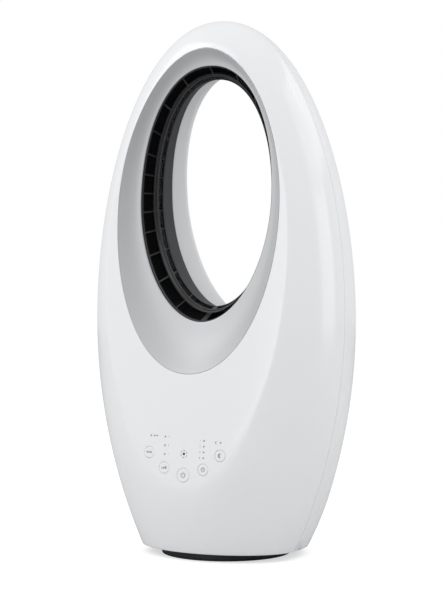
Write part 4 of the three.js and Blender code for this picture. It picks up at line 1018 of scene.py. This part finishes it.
# Strips of the light guide behind the lamps: left, right, lower and upper end on the panel.
LIGHT_STRIPS = [(-44.6, 46.6, 13, 25), (-26.3, -22.3, -0.2, 14), (22.3, 26.3, -2.4, 14)]
STRIP_SINK, STRIP_THICK = 4.3, 1.6


class FAN_OT_lamps_and_receiver(bpy.types.Operator):
    """Builds the light guide with its lamp tips, and the receiver's small dark window"""
    bl_idname = "fan.lamps_and_receiver"
    bl_label = "Lamps and Receiver"

    def execute(self, context):
        tips = []
        for x, up in LAMPS:
            tip = panel_rod(LAMP_RADIUS, *TIP, x, up, 20)
            ease_edges(tip, 0.25, 2, 50)
            apply_place(tip)
            tips.append(tip)
        for left, right, low, high in LIGHT_STRIPS:
            deselect()
            bpy.ops.mesh.primitive_cube_add(size=1)
            strip = bpy.context.object
            strip.scale = ((right - left) * MM, (high - low) * MM, STRIP_THICK * MM)
            apply_place(strip)
            ease_edges(strip, 0.3, 2, 50)
            place = panel_place(0, (low + high) / 2, -STRIP_SINK)
            place.translation.x += (left + right) / 2 * MM
            strip.matrix_world = place
            apply_place(strip)
            tips.append(strip)
        guide = joined("light_guide_tips", tips)
        settle(guide, "fan_body", "clear_plastic", "light_guide")

        window = panel_rod(RECEIVER_RADIUS, *WINDOW, *RECEIVER, 32)
        window.name = "receiver_filter"
        apply_place(window)
        ease_edges(window, 0.4, 3, 50)
        settle(window, "fan_body", "black_plastic", "receiver_window", look="filter")
        return {"FINISHED"}


# ---------------------------------------------------------------- foot
class FAN_OT_foot(bpy.types.Operator):
    """Builds the round black foot with its hollow post and rubber pads"""
    bl_idname = "fan.foot"
    bl_label = "Foot"

    def execute(self, context):
        floor = FOOT_HEIGHT / 2 + PAN_FLOOR
        pan = rod(BASE_RADIUS, PAN_LOW, BASE_TOP, 128)
        apply_place(pan)
        top, bottom = BASE_TOP * MM, PAN_LOW * MM
        begin_edit(pan)
        pick("edges", lambda edge: all(v.co.z < bottom + 1e-6 for v in edge.verts))
        bevel(PAN_LOW_EASE, 3)
        pick("edges", lambda edge: all(v.co.z > top - 1e-6 for v in edge.verts))
        bevel(PAN_TOP_EASE, 3)
        # Down to the floor inside the rim, up the post and through its bore.
        pick("faces", lambda face: face.normal.z > 0.99 and face.calc_area() > 1e-4)
        inset(PAN_WALL - PAN_TOP_EASE)
        push(floor - BASE_TOP)
        inset(BASE_RADIUS - PAN_WALL - POST)
        push(POST_TOP - floor)
        inset(POST - POST_BORE)
        bpy.ops.mesh.delete(type="FACE")
        # The underside is drawn in behind a lowest ring.
        pick("faces", lambda face: face.normal.z < -0.99 and face.calc_area() > 1e-4)
        inset(PAN_RING - PAN_LOW_EASE)
        push(FOOT_HEIGHT / 2 - PAN_LOW)
        inset(BASE_RADIUS - PAN_RING - POST_BORE)
        bpy.ops.mesh.delete(type="FACE")
        bridge_openings()
        end_edit()
        turns = [math.radians(45 + 90 * i) for i in range(4)]
        places = [(FOOT_CIRCLE * math.cos(t), FOOT_CIRCLE * math.sin(t)) for t in turns]
        cut_with(pan, [rod(FOOT_RADIUS + GAP, -1, FOOT_HEIGHT + GAP, 40, at) for at in places])
        pan.name = "foot_pan"
        settle(pan, "base", "black_plastic", "base_pan", look="foot")

        cover_radius = BASE_RADIUS - PAN_WALL - GAP
        cover = rod(cover_radius, BASE_TOP - COVER_THICK, BASE_TOP, 128)
        apply_place(cover)
        begin_edit(cover)
        for sign in (1, -1):
            pick("faces", lambda face: face.normal.z * sign > 0.99)
            inset(cover_radius - POST - GAP)
            bpy.ops.mesh.delete(type="FACE")
        bridge_openings()
        end_edit()
        ease_edges(cover, 0.25, 2, 60)
        cover.name = "foot_cover"
        settle(cover, "base", "black_plastic", "base_cover")

        for i, at in enumerate(places):
            pad = rod(FOOT_RADIUS, 0, FOOT_HEIGHT, 48, at)
            apply_place(pad)
            middle, rim = Vector((at[0] * MM, at[1] * MM + TURN_Y)), (FOOT_RADIUS - 0.1) * MM
            begin_edit(pad)
            pick("faces", lambda face: face.normal.z < -0.99)
            inset(PAD_RING)
            inset(PAD_STEP, -PAD_DISH)
            pick("edges", lambda edge: all(v.co.z < 1e-6 and (v.co.xy - middle).length > rim
                                           for v in edge.verts))
            bevel(0.4, 2)
            end_edit()
            pad.name = f"rubber_pad_{i + 1}"
            settle(pad, "base", "soft_rubber", f"rubber_foot_{i + 1}")
        return {"FINISHED"}


# ---------------------------------------------------------------- rear intake
# Slots: height, pitch, plain border round them, and half of the bar between left and right.
SLOT_HIGH, SLOT_PITCH, SLOT_BORDER, SLOT_BAR = 4.4, 11, 9, 2
SLOT_PARTS = 12            # faces along a slot
PLAIN_ROWS = (0.5, 2, 5)   # rows of points above and below the slots, from the hole's ends
# Gap round the panel, its depth under the shell's surface, least frame beside its slots.
PANEL_GAP, PANEL_SINK, PANEL_FRAME = 0.5, 0.4, 2


def intake_half(z, border):
    """Half width of the intake's outline at a height, drawn in by a border."""
    near_end = min(z - INTAKE["low"], INTAKE["high"] - z)
    corner = INTAKE["corner"] - border
    into = min(corner, max(0, INTAKE["corner"] - near_end))
    return INTAKE["half"] - border - corner + math.sqrt(max(0, corner ** 2 - into ** 2))


class FAN_OT_intake_grille(bpy.types.Operator):
    """Builds the slotted panel that draws the air in at the rear"""
    bl_idname = "fan.intake_grille"
    bl_label = "Intake Grille"

    def execute(self, context):
        low, high = INTAKE["low"], INTAKE["high"]
        count = int((high - low - 2 * SLOT_BORDER) // SLOT_PITCH)
        first = (low + high - (count - 1) * SLOT_PITCH - SLOT_HIGH) / 2
        rows = [low + way for way in PLAIN_ROWS]
        for i in range(count):
            rows += [first + i * SLOT_PITCH, first + i * SLOT_PITCH + SLOT_HIGH]
        rows += [high - way for way in reversed(PLAIN_ROWS)]
        coords = []
        for z in rows:
            end = intake_half(z, PANEL_GAP)
            length = min(intake_half(z, SLOT_BORDER), end - PANEL_FRAME) - SLOT_BAR
            right = [SLOT_BAR + length * k / SLOT_PARTS for k in range(SLOT_PARTS + 1)] + [end]
            across = [-x for x in reversed(right)] + right
            coords += [(x, float(rear_y(x, z, PANEL_SINK)), z) for x in across]
        width = 2 * (SLOT_PARTS + 2)
        closed = (0, SLOT_PARTS + 1, width - 2)
        slot_rows = range(len(PLAIN_ROWS), len(PLAIN_ROWS) + 2 * count, 2)
        faces = []
        for row in range(len(rows) - 1):
            for i in range(width - 1):
                if row in slot_rows and i not in closed:
                    continue
                faces.append((row * width + i, row * width + i + 1,
                              (row + 1) * width + i + 1, (row + 1) * width + i))
        piece = mesh_piece("intake_panel", coords, faces)
        turn_sheet(piece, lambda face: -face.normal.y)
        apply_modifier(piece, "SOLIDIFY", thickness=WALL * MM, offset=-1.0)
        ease_edges(piece, 0.5, 2, 50)
        settle(piece, "fan_body", "gloss_white", "intake_grille")
        return {"FINISHED"}


# ---------------------------------------------------------------- carried-over solids
class FAN_OT_solid_finishes(bpy.types.Operator):
    """Gives the solids that are kept the finish that the record names, but the nozzle a
    near-black one that paints the shade behind the slots
    """
    bl_idname = "fan.solid_finishes"
    bl_label = "Solid Finishes"

    def execute(self, context):
        slots = {part["node"]: part["material_slot"] for part in frame["record"]["subparts"]}
        for name, node in frame["nodes"].items():
            node.data.materials.clear()
            # The nozzle takes the near-black finish: painted shade for the dark behind the
            # slots.
            node.data.materials.append(FINISHES["nozzle" if name == "air_nozzle"
                                                else slots[name]])
        return {"FINISHED"}


# ---------------------------------------------------------------- stage
# Soft boxes round the fan: angles from the front towards the right and up, and watts.
SOFT_BOXES = [
    ("front_left_high", -30, 38, 6.3),
    ("front_low", -5, 8, 6.2),
    ("left_high", -55, 38, 7.6),
    ("right_low", 100, 8, 6.6),
    ("right_high", 100, 38, 4.4),
    ("right_rear_high", 130, 38, 5),
]
BOX_SIZE, BOX_DISTANCE, BOX_TARGET_Z = 1.1, 2.2, 0.32      # metres
SKY_STRENGTH, FLOOR_LIFT = 0.68, 0.6
PAPER_DEEP, PAPER_PALE = (0.61, 0.61, 0.61, 1), (0.63, 0.63, 0.63, 1)
WHITE = (1, 1, 1, 1)
FLOOR_SIZE, FIBRES = 16, 900.0         # metres across, and paper fibres to the metre


def soft_box(name, azimuth, elevation, power):
    """A square soft box that looks at the fan's middle, at angles in degrees round it."""
    azimuth, elevation = math.radians(azimuth), math.radians(elevation)
    light = bpy.data.lights.new(name, "AREA")
    light.energy, light.size = power, BOX_SIZE
    lamp = bpy.data.objects.new(name, light)
    way = Vector((math.sin(azimuth) * math.cos(elevation),
                  -math.cos(azimuth) * math.cos(elevation), math.sin(elevation)))
    lamp.location = Vector((0, 0, BOX_TARGET_Z)) + way * BOX_DISTANCE
    lamp.rotation_euler = (-way).to_track_quat("-Z", "Y").to_euler()
    bpy.context.scene.collection.objects.link(lamp)


# The camera stands level, at an angle from the front towards the right. Its focal length and
# the image's middle are in pixels of the photograph.
CAMERA = {"azimuth": 28.65, "distance": 1783.8, "height": 290.2, "focus": 1567.9,
          "middle_x": 226.3}
IMAGE_WIDTH, IMAGE_HEIGHT, SENSOR = 444, 592, 36


class FAN_OT_stage(bpy.types.Operator):
    """Sets the floor, the soft lamps, the sky and the camera"""
    bl_idname = "fan.stage"
    bl_label = "Stage"

    def execute(self, context):
        scene = context.scene
        deselect()
        bpy.ops.mesh.primitive_plane_add(size=FLOOR_SIZE)
        floor = context.object
        floor.name = "floor"
        # White paper sweep: matt, and overexposed wherever no shadow falls on it.
        paper = bpy.data.materials.new("paper_sweep_white")
        paper.use_nodes = True
        tree = paper.node_tree
        tree.nodes.clear()
        seen = add_node(tree, "ShaderNodeLightPath")
        fibre = add_node(tree, "ShaderNodeTexNoise", {"Scale": FIBRES})
        tone = add_node(tree, "ShaderNodeMix", {0: fibre.outputs["Fac"], 6: PAPER_DEEP,
                                                7: PAPER_PALE}, data_type="RGBA")
        matt = add_node(tree, "ShaderNodeBsdfDiffuse", {"Color": tone.outputs[2]})
        lift = add_node(tree, "ShaderNodeMath", {0: seen.outputs["Is Camera Ray"],
                                                 1: FLOOR_LIFT}, operation="MULTIPLY")
        glow = add_node(tree, "ShaderNodeEmission",
                        {"Color": WHITE, "Strength": lift.outputs[0]})
        both = add_node(tree, "ShaderNodeAddShader", {0: matt.outputs[0], 1: glow.outputs[0]})
        add_node(tree, "ShaderNodeOutputMaterial", {"Surface": both.outputs[0]})
        floor.data.materials.append(paper)

        world = bpy.data.worlds.new("studio")
        world.use_nodes = True
        tree = world.node_tree
        tree.nodes.clear()
        seen = add_node(tree, "ShaderNodeLightPath")
        strength = add_node(tree, "ShaderNodeMapRange",
                            {0: seen.outputs["Is Camera Ray"], 3: SKY_STRENGTH, 4: 1.0})
        back = add_node(tree, "ShaderNodeBackground",
                        {"Color": WHITE, "Strength": strength.outputs[0]})
        add_node(tree, "ShaderNodeOutputWorld", {"Surface": back.outputs[0]})
        scene.world = world

        for box in SOFT_BOXES:
            soft_box(*box)

        turn = math.radians(CAMERA["azimuth"])
        data = bpy.data.cameras.new("camera")
        data.sensor_width = SENSOR
        data.sensor_fit = "AUTO"
        data.lens = CAMERA["focus"] * SENSOR / IMAGE_HEIGHT
        data.shift_x = (IMAGE_WIDTH / 2 - CAMERA["middle_x"]) / IMAGE_HEIGHT
        camera = bpy.data.objects.new("camera", data)
        camera.location = (CAMERA["distance"] * MM * math.sin(turn),
                           -CAMERA["distance"] * MM * math.cos(turn) + TURN_Y,
                           CAMERA["height"] * MM)
        camera.rotation_euler = (math.pi / 2, 0, turn)
        scene.collection.objects.link(camera)
        scene.camera = camera
        scene.view_settings.view_transform = "Standard"
        return {"FINISHED"}


# ---------------------------------------------------------------- settings and panel
COLOURS = {
    "body": ("Body", "White of the shells and keys", "#eeeff1"),
    "bezel": ("Bezel", "Silver of the dished ring", "#c7c9cb"),
    "collar": ("Collar", "Silver of the rear ring", "#e9eaec"),
    "trim": ("Trim", "Black of the outlet ring and the foot", "#16171b"),
    "duct": ("Duct", "Grey of the wall behind the slots", "#414245"),
}


class FanColours(bpy.types.PropertyGroup):
    """Colours that a user may change"""


for colour_name, (label, text, value) in COLOURS.items():
    FanColours.__annotations__[colour_name] = FloatVectorProperty(
        name=label, description=text, subtype="COLOR", size=3, min=0, max=1,
        default=linear(value))


class FanSizes(bpy.types.PropertyGroup):
    """Sizes that a user may change"""
    shell_edge: FloatProperty(
        name="Shell Edge", description="Rounding of the shells' edges along the seam",
        default=0.55 * MM, min=0.1 * MM, max=1.2 * MM, unit="LENGTH")


class FAN_OT_finishes(bpy.types.Operator):
    """Makes the fan's materials from the chosen colours"""
    bl_idname = "fan.finishes"
    bl_label = "Finishes"

    def execute(self, context):
        make_finishes(context.scene.fan_colours)
        return {"FINISHED"}


STEPS = [FAN_OT_finishes, FAN_OT_front_shell, FAN_OT_rear_shell, FAN_OT_front_bezel,
         FAN_OT_outlet_ring, FAN_OT_tunnel_walls, FAN_OT_keys, FAN_OT_panel_signs,
         FAN_OT_lamps_and_receiver, FAN_OT_foot, FAN_OT_intake_grille, FAN_OT_solid_finishes,
         FAN_OT_stage]


class FAN_PT_panel(bpy.types.Panel):
    bl_label = "Bladeless Fan"
    bl_idname = "FAN_PT_panel"
    bl_space_type = "VIEW_3D"
    bl_region_type = "UI"
    bl_category = "Fan"

    def draw(self, context):
        layout = self.layout
        for name in COLOURS:
            layout.prop(context.scene.fan_colours, name)
        layout.prop(context.scene.fan_sizes, "shell_edge")
        for step in STEPS:
            layout.operator(step.bl_idname)


CLASSES = [FanColours, FanSizes, FAN_PT_panel] + STEPS


def register():
    for item in CLASSES:
        bpy.utils.register_class(item)
    bpy.types.Scene.fan_colours = PointerProperty(type=FanColours)
    bpy.types.Scene.fan_sizes = PointerProperty(type=FanSizes)


def unregister():
    del bpy.types.Scene.fan_sizes
    del bpy.types.Scene.fan_colours
    for item in reversed(CLASSES):
        bpy.utils.unregister_class(item)


def main():
    register()
    for step in STEPS:
        family, name = step.bl_idname.split(".")
        getattr(getattr(bpy.ops, family), name)()
    bpy.context.view_layer.update()


if __name__ == "__main__":
    main()
